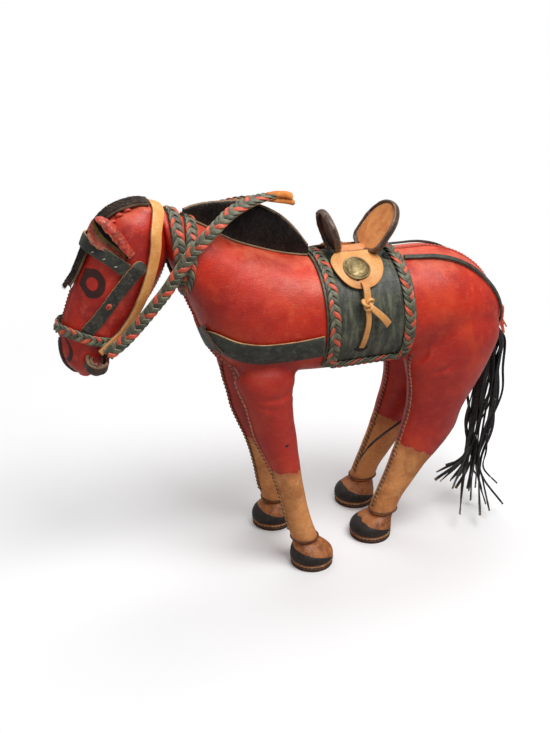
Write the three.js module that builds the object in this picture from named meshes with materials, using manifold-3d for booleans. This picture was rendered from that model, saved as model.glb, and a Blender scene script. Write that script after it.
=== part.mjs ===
// Leather horse figurine with bridle, braided reins, saddle and a tail of leather strips.
// Millimetres, +Z up. The horse faces -X and its left side looks towards -Y.

import * as THREE from 'three';
import { mergeVertices } from 'three/addons/utils/BufferGeometryUtils.js';
import Module from 'manifold-3d';

const wasm = await Module();
wasm.setup();

// Clearances and leather thicknesses
const mergeTolerance = 1e-4;
const curveTension = 0.5;
const seatGap = 0.3;
const seamGap = 0.3;
const facetRoom = 0.15;
const strapLift = 0.45;
const bodyLeather = 1.4;
const strapLeather = 1.3;
const braidThickness = 2.0;
const saddleLeather = 1.6;

// Body profile: topline point, underline point and half width of each section
const trunkStations = [
  { top: [-70, 232.5], under: [-61.5, 194], half: 14, egg: 0.1 },
  { top: [-58, 227.5], under: [-57, 183], half: 16.5, egg: 0.14 },
  { top: [-43, 219], under: [-52, 171], half: 20.5, egg: 0.16 },
  { top: [-27, 209], under: [-46.5, 157], half: 26, egg: 0.16 },
  { top: [-10, 202], under: [-39.5, 140.5], half: 30.5, egg: 0.12 },
  { top: [6, 197], under: [-26, 127.5], half: 33.5, egg: 0.06 },
  { top: [22, 194], under: [-4, 124], half: 34.5, egg: 0 },
  { top: [37, 193], under: [25, 122.5], half: 35, egg: 0 },
  { top: [52, 192.5], under: [51, 122.5], half: 35, egg: 0 },
  { top: [68, 192], under: [73, 122.5], half: 35, egg: 0 },
  { top: [84, 191.5], under: [93, 123.5], half: 35, egg: 0 },
  { top: [101, 191], under: [109, 124.5], half: 34.5, egg: 0 },
  { top: [117, 186.5], under: [123, 126], half: 32.5, egg: 0 },
  { top: [131, 177.5], under: [135, 129], half: 28, egg: 0 },
  { top: [142, 165.5], under: [144, 134], half: 19.5, egg: 0 },
  { top: [148, 153.5], under: [148.5, 138], half: 8.5, egg: 0 },
];

// Head profile: forehead side, jaw side and half width, from poll to muzzle
const headStations = [
  { top: [-84, 235.5], under: [-69, 230], half: 9 },
  { top: [-96.5, 231.5], under: [-65, 218], half: 14.5 },
  { top: [-105.5, 222.5], under: [-65.5, 206], half: 17 },
  { top: [-111.8, 209.5], under: [-69.5, 194.5], half: 18 },
  { top: [-118.5, 195], under: [-75.5, 184], half: 17 },
  { top: [-124, 181], under: [-83, 174], half: 15 },
  { top: [-128, 168], under: [-92, 163.5], half: 13.8 },
  { top: [-129.5, 156.5], under: [-100, 152.5], half: 12.8 },
  { top: [-127.5, 146.5], under: [-106.5, 143.5], half: 10.2 },
  { top: [-121, 139], under: [-112.5, 138.5], half: 5 },
];

// Front leg profile: front edge, rear edge and half width, from shoulder to fetlock
const frontLegStations = [
  { top: [-22, 141], under: [0, 141], half: 8 },
  { top: [-31, 129], under: [5, 130], half: 13.5 },
  { top: [-29, 117], under: [3.2, 117], half: 13.5 },
  { top: [-25, 102], under: [3.2, 102], half: 12.5 },
  { top: [-22, 90], under: [4.6, 88], half: 11.5 },
  { top: [-13.5, 71], under: [6.6, 69], half: 10 },
  { top: [-8.5, 56], under: [8.4, 55], half: 9 },
  { top: [-5.5, 42], under: [10.8, 41], half: 8 },
  { top: [-2.7, 29], under: [14, 28], half: 7.7 },
  { top: [0.5, 17.5], under: [17.5, 17.5], half: 8 },
];

// Hind leg profile: front edge, rear edge and half width, from stifle to fetlock
const hindLegStations = [
  { top: [97, 154], under: [141, 148], half: 14 },
  { top: [85, 141], under: [143, 136], half: 17 },
  { top: [80, 124], under: [139, 124], half: 17.5 },
  { top: [82.5, 108], under: [130.5, 107], half: 16 },
  { top: [82.5, 92], under: [121.5, 90], half: 14 },
  { top: [79.5, 78], under: [116.5, 73], half: 12 },
  { top: [76.5, 66], under: [106.5, 60], half: 10.5 },
  { top: [72.5, 54], under: [97, 49.5], half: 9.2 },
  { top: [67.5, 40], under: [88.5, 37.5], half: 8.4 },
  { top: [63, 28], under: [81, 26.5], half: 8 },
  { top: [59.5, 17.5], under: [77.5, 17.5], half: 8.2 },
];

// Where each leg stands: hip offset, fetlock and hoof centre on the ground
const hipOffset = 19;
const legPlan = [
  { name: 'front_leg_left', form: frontLegStations, side: -1, ankle: [9, -32.5], hoof: [13, -34.3] },
  { name: 'front_leg_right', form: frontLegStations, side: 1, ankle: [6.5, 19.5], hoof: [4.5, 18.5] },
  { name: 'hind_leg_left', form: hindLegStations, side: -1, ankle: [68.5, -18], hoof: [61, -17] },
  { name: 'hind_leg_right', form: hindLegStations, side: 1, ankle: [73, 27], hoof: [67.5, 26.5] },
];
const frontSockLine = 0.56;
const hindSockLine = 0.62;

// Hooves, soles, ankle cords and leg wires
const hoofRadius = 13.4;
const hoofHeight = 16.6;
const soleInset = 0.2;
const soleRadius = hoofRadius - soleInset;
const soleThickness = 2.4;
const ankleCord = 1.3;
const ankleCordPlace = 0.955;
const wirePlaces = [0.8, 0.5];
const wireDiameter = 2.6;
const wireTop = 158;
const wireFoot = 6;
const wireClearance = 0.3;

// Bridle straps on the head
const browbandWidth = 7.5;
const browbandStandOff = 3.8;
const browPlace = 0.29;
const browRise = 0.02;
const nosebandPlace = 0.66;
const cheekStrapWidth = 5.6;
const nosebandWidth = 5.6;
const nosebandStandOff = 1.8;
const headStrapWidth = 6.5;
const bitRingRadius = 4.4;
const bitRingThickness = 1.3;
const reinWidth = 7.4;
const reinLeather = 2.2;
const reinStandOff = 1.6;
const reinCrossing = -13;
const reinNeckPoint = [-58, 200];
const reinUpNeck = [
  [-104, 2.6, 155, [-0.25, -1, 0.1]],
  [-95, 1.2, 164.5, [-0.2, -1, 0.1]],
  [-84, 0.5, 177, [-0.1, -1, 0.1]],
  [-72, 0, 190.5, [0, -1, 0.1]],
  [-59, -0.4, 205.5, [0, -1, 0.25]],
  [-46, -0.4, 217, [0.1, -1, 0.6]],
];
const reinOverCrest = [
  [-32, -13.5, 8.3, [0.15, -1, 1]],
  [-19, -7.5, 1.6, [0.1, -0.6, 1.2]],
  [-6, -2.5, 0, [0, -0.2, 1.2]],
  [5, 3, 0.6, [0.15, 0.2, 1.2]],
];
const bitX = -108.5;
const bitZ = 148;
const pollStrapPlace = 0.002;
const pollStrapForward = 1.4;
const pollStrapRise = 0.9;
const pollStrapTaper = [0.55, 4];
const pollStrapLow = [[-111.5, 157.5], [-106.5, 164]];
const pollStrapHigh = [[-99, 174], [-88.5, 188], [-79.5, 202], [-74, 212]];
const pollStrapTurns = [1.25, 0.8, 0.4];
const browEnd = [-89, 205];
const cheekLine = [[-90, 199], [-98, 191], [-108, 181], [-116, 173]];
const noseEnd = [[-103, 160.5], [-112, 163.5]];

// Bands round the neck
const crownBraidWidth = 7;
const collarBraidWidth = 7;
const neckBandLift = 0.7;
const bandRoomDepth = 1;
const crownBraidPlace = 0.056;
const collarBraidPitch = 0.051;
const collarBraidSpread = 0.012;

// Mane and forelock hide
const maneThickness = 4.2;
const maneRearInset = 1.5;
const maneTopline = [
  [-55, 230.5], [-47, 232.5], [-34, 233], [-22, 232.3], [-10, 228.8], [2, 222], [11, 213.5], [20, 201.5],
];
const forelockWidth = 13;
const forelockThickness = 1.6;
const forelockRear = 9;
const forelockRun = [[0.1, 0.75], [0.2, 0.45], [0.34, 0.45], [0.46, 0.45], [0.53, 1.45]];
const earBase = [-84.5, -17.5, 212];
const earTip = [-102.5, -11.5, 232];
const earRadius = 5;
const earOpening = [0.75, 0.4];
const earSwell = [0.62, 0.75, 1.12];

// Blanket, its braided edging, breast collar and crupper
const blanketFront = 20;
const blanketRear = 77;
const blanketDrop = 138;
const blanketLeather = 1.3;
const edgingWidth = 7.2;
const edgingInset = 0.6;
const edgingCorner = 0.09;
const breastWidth = 12.4;
const breastLift = 0.9;
const breastLine = [[19, 150.5], [4, 149.5], [-14, 149.5], [-30, 151.5], [-42, 156]];
const keeperPoint = [-44, 157.5];
const keeperWidth = 4;
const keeperReach = 0.04;
const keeperSlant = 0.12;
const crupperWidth = 3;
const crupperLift = 0.85;
const crupperRun = [[78, 0.3], [96, 0.3], [115, 0.36], [130, 0.5], [140, 0.8]];
const crupperLow = 1.9;
const crupperPlace = 0.95;

// Saddle
const flapFront = 28.4;
const flapRear = 61;
const flapDrop = 53;
const flapStart = 0.22;
const flapTip = 0.14;
const flapRoundness = 2.2;
const seatFront = 35;
const seatRear = 58;
const pommelWidth = 25;
const pommelHeight = 25.5;
const pommelLean = 17;
const pommelX = 37;
const cantleWidth = 33;
const cantleHeight = 32.5;
const cantleLean = -36;
const cantleX = 55.5;
const paddleThickness = 2.6;
const rimThickness = 3.4;
const paddleSink = 1.2;
const conchoDiameter = 16;
const conchoHeight = 3;
const conchoEdge = 0.7;
const saddleRoomDepth = 4;
const conchoAngle = 33;
const conchoX = 44;
const laceWidth = 3.4;
const laceThickness = 1.3;
const knotDiameter = 7;
const laceTopAngle = 49;
const laceKnotAngle = 62;
const laceFootAngle = 100;
const laceFreeEnd = [[1, 1], [7, 12], [12, 21]];

// Tail: its hinge point behind the rump, and how the strips bow, gather and fan out
const dockDiameter = 8.4;
const dockFoot = 131;
const dockLength = 14;
const dockCollar = 3.5;
const dockTuck = 0.6;
const stripWidth = 2.4;
const stripThickness = 1.1;
const stripTaper = 0.45;
const tailStripCount = 17;
const tailRootThickness = 3;
const tailRootTop = 1;
const tailRootGap = 0.8;
const tailRootShare = 0.3;
const tailHingeHeight = 147;
const tailReach = 143.5;
const tailUneven = 9;
const tailBow = [-1, 0];
const tailBowWidth = [10.5, 6];
const tailGather = [-9, -3];
const tailGatherWidth = 5;
const tailFanMiddle = [-17, -9];
const tailFan = [27, 31];
const forwardStripWidth = 2.8;
const forwardStripTurn = 135;
const forwardStripLine = [[147.5, 3.8, 127], [140, 2.5, 111], [124, 4, 88], [92, 7, 67], [72, 7.5, 54], [61, 7, 42]];
const goldenAngle = Math.PI * (3 - Math.sqrt(5));

// Facet counts
const trunkCrowding = 1.25;
const trunkRings = 26;
const trunkHalfSides = 9;
const headRings = 14;
const headHalfSides = 8;
const legSides = 12;
const wireSides = 6;
const wireSteps = 16;
const upperLegRings = 8;
const sockRings = 6;
const dockSides = 14;
const stripSteps = 5;
const stripRootSides = 10;
const blanketRows = 22;
const blanketColumns = 3;
const edgingEndSteps = 5;
const bandSteps = 24;
const breastSteps = 26;
const keeperSteps = 6;
const crupperSteps = 30;
const saddleRows = 18;
const rimTurns = 18;
const rimSides = 5;
const conchoSides = 14;
const laceSteps = 10;
const browSteps = 20;
const noseSteps = 22;
const cheekSteps = 8;
const pollSteps = 40;
const reinSteps = 26;
const forelockSteps = 16;
const maneSteps = 14;
const hoofSides = 14;
const soleSides = 16;
const cordSteps = 14;
const cordSides = 4;
const earRings = 6;
const earSides = 7;

// Colours and finishes
const finishes = {
  redLeather: { color: 0xc23c2d, roughness: 0.5, metalness: 0 },
  tanLeather: { color: 0xaa733f, roughness: 0.6, metalness: 0 },
  darkLeather: { color: 0x3c4440, roughness: 0.5, metalness: 0 },
  saddleLeather: { color: 0xe0a468, roughness: 0.65, metalness: 0 },
  rimLeather: { color: 0x46321f, roughness: 0.45, metalness: 0 },
  braidLeather: { color: 0x6b5f4c, roughness: 0.55, metalness: 0 },
  stuffing: { color: 0xc9b48a, roughness: 0.95, metalness: 0 },
  wire: { color: 0x8d8f92, roughness: 0.4, metalness: 0.9 },
  hair: { color: 0x1d1816, roughness: 0.85, metalness: 0 },
  brass: { color: 0xa0915f, roughness: 0.3, metalness: 1 },
  tailLeather: { color: 0x191818, roughness: 0.6, metalness: 0 },
  soleLeather: { color: 0x33211a, roughness: 0.7, metalness: 0 },
};

// Small helpers
const toRadians = THREE.MathUtils.degToRad;
const model = new THREE.Group();

function addNode(name, geometry, finish) {
  const shaped = geometry.clone();
  shaped.computeVertexNormals();
  const mesh = new THREE.Mesh(shaped, new THREE.MeshStandardMaterial(finishes[finish]));
  mesh.name = name;
  model.add(mesh);
  return mesh;
}

function signedVolume(points, faces) {
  let volume = 0;
  for (const [i, j, k] of faces) {
    volume += points[i].dot(points[j].clone().cross(points[k]));
  }
  return volume / 6;
}

function closedGeometry(points, faces) {
  const outward = signedVolume(points, faces) > 0;
  const geometry = new THREE.BufferGeometry();
  const flat = points.flatMap((p) => [p.x, p.y, p.z]);
  geometry.setAttribute('position', new THREE.Float32BufferAttribute(flat, 3));
  geometry.setIndex(faces.flatMap(([i, j, k]) => (outward ? [i, j, k] : [i, k, j])));
  return geometry;
}

// Solids for joining and cutting
function toSolid(geometry) {
  const bare = geometry.clone();
  for (const name of Object.keys(bare.attributes)) {
    if (name !== 'position') bare.deleteAttribute(name);
  }
  const merged = mergeVertices(bare, mergeTolerance);
  return new wasm.Manifold(new wasm.Mesh({
    numProp: 3,
    vertProperties: new Float32Array(merged.attributes.position.array),
    triVerts: new Uint32Array(merged.index.array),
  }));
}

function fromSolid(solid) {
  const mesh = solid.getMesh();
  const geometry = new THREE.BufferGeometry();
  geometry.setAttribute('position', new THREE.Float32BufferAttribute(mesh.vertProperties, 3));
  geometry.setIndex(Array.from(mesh.triVerts));
  return geometry;
}

function cut(geometry, ...cutters) {
  return fromSolid(cutters.reduce((solid, cutter) => solid.subtract(toSolid(cutter)), toSolid(geometry)));
}

function join(...geometries) {
  return fromSolid(geometries.slice(1).reduce((solid, g) => solid.add(toSolid(g)), toSolid(geometries[0])));
}

// A slab between two grids of points. loopRows closes the rows into a ring.
function slab(outer, inner, loopRows = false) {
  const rows = outer.length;
  const columns = outer[0].length;
  const points = [...outer.flat(), ...inner.flat()];
  const at = (layer, i, j) => (layer * rows + (i % rows)) * columns + j;
  const faces = [];
  const quad = (a, b, c, d) => faces.push([a, b, c], [a, c, d]);
  const lastRow = loopRows ? rows : rows - 1;
  for (let i = 0; i < lastRow; i += 1) {
    for (let j = 0; j < columns - 1; j += 1) {
      quad(at(0, i, j), at(0, i + 1, j), at(0, i + 1, j + 1), at(0, i, j + 1));
      quad(at(1, i, j), at(1, i, j + 1), at(1, i + 1, j + 1), at(1, i + 1, j));
    }
    quad(at(0, i, 0), at(1, i, 0), at(1, i + 1, 0), at(0, i + 1, 0));
    const end = columns - 1;
    quad(at(0, i, end), at(0, i + 1, end), at(1, i + 1, end), at(1, i, end));
  }
  if (!loopRows) {
    for (let j = 0; j < columns - 1; j += 1) {
      quad(at(0, 0, j), at(0, 0, j + 1), at(1, 0, j + 1), at(1, 0, j));
      const end = rows - 1;
      quad(at(0, end, j), at(1, end, j), at(1, end, j + 1), at(0, end, j + 1));
    }
  }
  return closedGeometry(points, faces);
}

// A closed body through rings of points, each end closed by a fan to its middle.
function skinRings(rings) {
  const sides = rings[0].length;
  const points = rings.flat();
  const faces = [];
  for (let i = 0; i < rings.length - 1; i += 1) {
    for (let j = 0; j < sides; j += 1) {
      const next = (j + 1) % sides;
      const [a, b] = [i * sides + j, i * sides + next];
      const [c, d] = [(i + 1) * sides + next, (i + 1) * sides + j];
      faces.push([a, b, c], [a, c, d]);
    }
  }
  for (const last of [false, true]) {
    const base = last ? (rings.length - 1) * sides : 0;
    const middle = new THREE.Vector3();
    for (let j = 0; j < sides; j += 1) middle.addScaledVector(points[base + j], 1 / sides);
    points.push(middle);
    for (let j = 0; j < sides; j += 1) {
      const next = (j + 1) % sides;
      const rim = [base + j, base + next];
      faces.push(last ? [points.length - 1, rim[0], rim[1]] : [points.length - 1, rim[1], rim[0]]);
    }
  }
  return closedGeometry(points, faces);
}

// A stuffed form: a smooth surface over its stations. s runs along it from 0 to 1, t goes
// round it from the topline (0) over the left side (positive) to the underline (PI).
function makeForm(stations, middleY = () => 0, shiftX = () => 0, crowding = 1) {
  const smooth = (points) => new THREE.CatmullRomCurve3(points, false, 'catmullrom', curveTension);
  const edge = (key) => smooth(stations.map(({ [key]: [x, z] }) => new THREE.Vector3(x, 0, z)));
  const topline = edge('top');
  const underline = edge('under');
  const girth = smooth(stations.map((station) => new THREE.Vector3(station.half, station.egg ?? 0, 0)));
  const clamped = (s) => Math.min(Math.max(s, 0), 1);
  const at = (s, t, lift = 0) => {
    const top = topline.getPoint(clamped(s));
    const under = underline.getPoint(clamped(s));
    const { x: half, y: egg } = girth.getPoint(clamped(s));
    const arm = top.clone().sub(under).multiplyScalar(0.5);
    const middle = top.clone().add(under).multiplyScalar(0.5);
    const reach = arm.length();
    middle.addScaledVector(arm, ((reach + lift) / reach) * Math.cos(t));
    middle.x += shiftX(middle.z);
    middle.y = middleY(middle.z) - (half + lift) * Math.sin(t) * (1 - egg * Math.cos(t));
    return middle;
  };
  const solid = (lift, steps, sides, from = 0, to = 1) => {
    const rings = [];
    for (let i = 0; i <= steps; i += 1) {
      const s = from + (to - from) * (i / steps) ** crowding;
      rings.push(Array.from({ length: sides }, (_, j) => at(s, (2 * Math.PI * j) / sides, lift)));
    }
    return skinRings(rings);
  };
  const halfShell = (side, thickness, steps, sides) => {
    const layer = (lift) => Array.from({ length: steps + 1 }, (_, i) => {
      const s = (i / steps) ** crowding;
      const seam = Math.asin(seamGap / 2 / girth.getPoint(s).x);
      return Array.from({ length: sides + 1 }, (__, j) => {
        const t = seam + ((Math.PI - 2 * seam) * j) / sides;
        return at(s, side * -t, lift);
      });
    });
    return slab(layer(0), layer(-thickness));
  };
  return { at, solid, halfShell };
}

// Surface directions of a form at (s, t)
function surfaceFrame(form, s, t) {
  const step = 1e-3;
  const here = form.at(s, t);
  const alongS = form.at(s + step, t).sub(form.at(s - step, t)).multiplyScalar(0.5 / step);
  const roundT = form.at(s, t + step).sub(form.at(s, t - step)).multiplyScalar(0.5 / step);
  const normal = alongS.clone().cross(roundT).normalize();
  const outward = here.clone().sub(form.at(s, t + Math.PI)).dot(normal) > 0 ? 1 : -1;
  return { here, alongS, roundT, normal: normal.multiplyScalar(outward) };
}

// The surface coordinates where the side of a form shows the profile point (x, z)
function locate(form, x, z, side = 1) {
  let best = { s: 0.5, t: side, miss: Infinity };
  for (let s = 0; s <= 1; s += 0.02) {
    for (let t = 0.02; t < Math.PI; t += 0.08) {
      const p = form.at(s, side * t);
      const miss = Math.hypot(p.x - x, p.z - z);
      if (miss < best.miss) best = { s, t: side * t, miss };
    }
  }
  for (let turn = 0; turn < 8; turn += 1) {
    const { here, alongS, roundT } = surfaceFrame(form, best.s, best.t);
    const determinant = alongS.x * roundT.z - alongS.z * roundT.x;
    if (Math.abs(determinant) < 1) break;
    const [dx, dz] = [x - here.x, z - here.z];
    best.s += (dx * roundT.z - dz * roundT.x) / determinant;
    best.t += (dz * alongS.x - dx * alongS.z) / determinant;
  }
  return { s: best.s, t: best.t };
}

// Move from (s, t) by a distance on the surface, square to the travel direction
function sidestep(form, place, travel, distance) {
  const steps = 4;
  const moved = { ...place };
  for (let i = 0; i < steps; i += 1) {
    const { alongS, roundT, normal } = surfaceFrame(form, moved.s, moved.t);
    const sideways = normal.clone().cross(travel).normalize().multiplyScalar(distance / steps);
    const [ss, st, tt] = [alongS.dot(alongS), alongS.dot(roundT), roundT.dot(roundT)];
    const [a, b] = [alongS.dot(sideways), roundT.dot(sideways)];
    const determinant = ss * tt - st * st;
    moved.s += (a * tt - b * st) / determinant;
    moved.t += (b * ss - a * st) / determinant;
  }
  return moved;
}

// A strap lying on a form along a path of (s, t) places
function surfaceStrap(form, path, { width, lift, thickness, across = 2, closed = false }) {
  const count = path.length;
  const liftAt = typeof lift === 'function' ? lift : () => lift;
  const layer = (height) => path.map((place, i) => {
    const before = closed ? path[(i + count - 1) % count] : path[Math.max(i - 1, 0)];
    const after = closed ? path[(i + 1) % count] : path[Math.min(i + 1, count - 1)];
    const travel = form.at(after.s, after.t).sub(form.at(before.s, before.t)).normalize();
    return Array.from({ length: across + 1 }, (_, j) => {
      const moved = sidestep(form, place, travel, width * (j / across - 0.5));
      return form.at(moved.s, moved.t, liftAt(i / (count - 1)) + height);
    });
  });
  return slab(layer(thickness), layer(0), closed);
}

// Places evenly along a smooth line through chosen places
function smoothPath(places, steps) {
  const curve = new THREE.CatmullRomCurve3(
    places.map(({ s, t }) => new THREE.Vector3(s, t, 0)), false, 'catmullrom', curveTension);
  return Array.from({ length: steps + 1 }, (_, i) => {
    const p = curve.getPoint(i / steps);
    return { s: p.x, t: p.y };
  });
}

function ringPath(placeAt, steps) {
  return Array.from({ length: steps }, (_, i) => {
    const t = (2 * Math.PI * i) / steps;
    return { s: placeAt(t), t };
  });
}

// A strap in the open along points, its face turned by the directions given with them
function openStrap(marks, { width, thickness, steps, taper = () => 1 }) {
  const curve = new THREE.CatmullRomCurve3(marks.map(({ at }) => at), false, 'catmullrom', curveTension);
  const faces = marks.map(({ face }) => face);
  const facing = new THREE.CatmullRomCurve3(faces, false, 'catmullrom', curveTension);
  const layer = (height) => Array.from({ length: steps + 1 }, (_, i) => {
    const u = i / steps;
    const middle = curve.getPoint(u);
    const travel = curve.getTangent(u);
    const face = facing.getPoint(u);
    face.addScaledVector(travel, -face.dot(travel)).normalize();
    const sideways = travel.clone().cross(face).normalize();
    return [-0.5, 0.5].map((share) => middle.clone()
      .addScaledVector(sideways, share * width * taper(u)).addScaledVector(face, height));
  });
  return slab(layer(thickness / 2), layer(-thickness / 2));
}

const mark = (at, face) => ({ at: new THREE.Vector3(...at), face: new THREE.Vector3(...face).normalize() });
const mirrorMark = ({ at, face }) => mark([at.x, -at.y, at.z], [face.x, -face.y, face.z]);

// The station number that a place along a form's row stands for
const stationShare = (stations, index) => index / (stations.length - 1);

// The trunk's rings lie closer together towards the neck
const trunk = makeForm(trunkStations, () => 0, () => 0, trunkCrowding);
const head = makeForm(headStations);
const trunkRoom = trunk.solid(seatGap + facetRoom, trunkRings, 2 * trunkHalfSides);
const blanketTop = seatGap + blanketLeather;
const saddleTop = blanketTop + seatGap + saddleLeather;

// The place along the trunk where a line round it at angle t shows the given x
function trunkPlaceAtX(x, t) {
  let [low, high] = [0, 1];
  for (let turn = 0; turn < 40; turn += 1) {
    const middle = (low + high) / 2;
    if (trunk.at(middle, t).x < x) low = middle;
    else high = middle;
  }
  return { s: (low + high) / 2, t };
}

// Legs lean from the hip to their own fetlock
function makeLeg(plan) {
  const top = plan.form[0].top[1];
  const last = plan.form[plan.form.length - 1];
  const foot = last.top[1];
  const share = (z) => Math.min(Math.max((top - z) / (top - foot), 0), 1.1);
  const middleY = (z) => plan.side * hipOffset * (1 - share(z)) + plan.ankle[1] * share(z);
  const ownAnkle = (last.top[0] + last.under[0]) / 2;
  const shiftX = (z) => (plan.ankle[0] - ownAnkle) * share(z);
  return makeForm(plan.form, middleY, shiftX);
}

// A round bar along a path of points
function roundBar(points, diameter, steps) {
  const shape = new THREE.Shape();
  const sides = wireSides;
  for (let i = 0; i < sides; i += 1) {
    const angle = (2 * Math.PI * i) / sides;
    const corner = [(diameter / 2) * Math.cos(angle), (diameter / 2) * Math.sin(angle)];
    if (i === 0) shape.moveTo(...corner);
    else shape.lineTo(...corner);
  }
  const extrudePath = new THREE.CatmullRomCurve3(points, false, 'catmullrom', curveTension);
  return new THREE.ExtrudeGeometry(shape, { steps, extrudePath, bevelEnabled: false });
}

// The middle of a leg at a share of its length
function legMiddle(leg, share) {
  return leg.at(share, 0).add(leg.at(share, Math.PI)).multiplyScalar(0.5);
}

// Points of the armature wire up one leg, from the hoof to the inside of the body
function wirePoints(leg, plan) {
  const hip = legMiddle(leg, stationShare(plan.form, 1));
  hip.z = wireTop;
  const foot = new THREE.Vector3(plan.ankle[0], plan.ankle[1], wireFoot);
  return [foot, ...wirePlaces.map((share) => legMiddle(leg, share)), hip];
}

// One wire runs up a leg, across inside the body and down the other leg
function legWire(left, right, diameter) {
  return roundBar([...left, ...[...right].reverse()], diameter, wireSteps);
}

// The hoof is a bulging leather cup that narrows to the fetlock
function makeHoof(plan) {
  const base = soleThickness + seatGap;
  const sections = [
    { rise: 0, radius: hoofRadius * 0.92, drift: 0 },
    { rise: 0.2, radius: hoofRadius, drift: 0 },
    { rise: 0.5, radius: hoofRadius * 0.96, drift: 0.08 },
    { rise: 0.8, radius: hoofRadius * 0.76, drift: 0.5 },
    { rise: 1, radius: hoofRadius * 0.55, drift: 1 },
  ];
  return skinRings(sections.map(({ rise, radius, drift }) => Array.from({ length: hoofSides }, (_, j) => {
    const angle = (2 * Math.PI * j) / hoofSides;
    const x = plan.hoof[0] + (plan.ankle[0] - plan.hoof[0]) * drift;
    const y = plan.hoof[1] + (plan.ankle[1] - plan.hoof[1]) * drift;
    return new THREE.Vector3(x + radius * Math.cos(angle), y + radius * Math.sin(angle),
      base + (hoofHeight - base) * rise);
  })));
}

function makeSole(plan) {
  const profile = [[0, 0], [soleRadius, 0], [soleRadius, soleThickness], [0, soleThickness]];
  const sole = new THREE.LatheGeometry(profile.map(([r, z]) => new THREE.Vector2(r, z)), soleSides);
  sole.rotateX(Math.PI / 2);
  sole.translate(plan.hoof[0], plan.hoof[1], 0);
  return sole;
}

// The cord tied round the fetlock
function makeAnkleCord(leg) {
  const rings = Array.from({ length: cordSteps }, (_, i) => {
    const t = (2 * Math.PI * i) / cordSteps;
    const middle = leg.at(ankleCordPlace, t, seatGap + ankleCord / 2);
    const outward = leg.at(ankleCordPlace, t, 1).sub(leg.at(ankleCordPlace, t, 0)).normalize();
    return Array.from({ length: cordSides }, (__, j) => {
      const turn = (2 * Math.PI * j) / cordSides;
      return middle.clone().addScaledVector(outward, (ankleCord / 2) * Math.cos(turn))
        .add(new THREE.Vector3(0, 0, (ankleCord / 2) * Math.sin(turn)));
    });
  });
  return tubeLoop(rings);
}

// A closed ring of sections
function tubeLoop(rings) {
  const sides = rings[0].length;
  const points = rings.flat();
  const faces = [];
  rings.forEach((_, i) => {
    const next = (i + 1) % rings.length;
    for (let j = 0; j < sides; j += 1) {
      const k = (j + 1) % sides;
      faces.push([i * sides + j, i * sides + k, next * sides + k]);
      faces.push([i * sides + j, next * sides + k, next * sides + j]);
    }
  });
  return closedGeometry(points, faces);
}

function addLegs() {
  const legs = legPlan.map((plan) => ({ plan, leg: makeLeg(plan) }));
  const runs = legs.map(({ plan, leg }) => wirePoints(leg, plan));
  const wireRoom = (first) => legWire(runs[first], runs[first + 1], wireDiameter + 2 * wireClearance);
  const bores = [wireRoom(0), wireRoom(2)];
  legs.forEach(({ plan, leg }, i) => {
    const bore = bores[Math.floor(i / 2)];
    const sockLine = plan.form === frontLegStations ? frontSockLine : hindSockLine;
    const halfGap = seatGap / plan.form[0].top[1];
    const upper = leg.solid(0, upperLegRings, legSides, 0, sockLine - halfGap);
    const sock = leg.solid(0, sockRings, legSides, sockLine + halfGap, 1);
    const ankle = leg.solid(seatGap, sockRings, legSides, sockLine + halfGap, 1);
    addNode(`${plan.name}_upper`, cut(upper, trunkRoom, bore), 'redLeather');
    addNode(`${plan.name}_sock`, cut(sock, bore), 'tanLeather');
    addNode(`${plan.name}_hoof`, cut(makeHoof(plan), ankle, bore), 'tanLeather');
    addNode(`${plan.name}_sole`, makeSole(plan), 'soleLeather');
    addNode(`${plan.name}_cord`, makeAnkleCord(leg), 'soleLeather');
  });
  addNode('front_leg_wire', legWire(runs[0], runs[1], wireDiameter), 'wire');
  addNode('hind_leg_wire', legWire(runs[2], runs[3], wireDiameter), 'wire');
  return bores;
}

// Body: two leather halves sewn along the midline over the stuffing
function addBody(bores) {
  for (const [name, side] of [['body_skin_left', -1], ['body_skin_right', 1]]) {
    const skin = trunk.halfShell(side, bodyLeather, trunkRings, trunkHalfSides);
    addNode(name, cut(skin, ...bores), 'redLeather');
  }
  const stuffing = trunk.solid(-bodyLeather - seatGap, trunkRings, 2 * trunkHalfSides);
  addNode('body_stuffing', cut(stuffing, ...bores), 'stuffing');
}

// Head: two leather halves over the stuffing, with the neck end let into the back
function addHead() {
  for (const [name, side] of [['head_skin_left', -1], ['head_skin_right', 1]]) {
    const skin = head.halfShell(side, bodyLeather, headRings, headHalfSides);
    addNode(name, cut(skin, trunkRoom), 'redLeather');
  }
  const stuffing = head.solid(-bodyLeather - seatGap, headRings, 2 * headHalfSides);
  addNode('head_stuffing', cut(stuffing, trunkRoom), 'stuffing');
}

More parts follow.
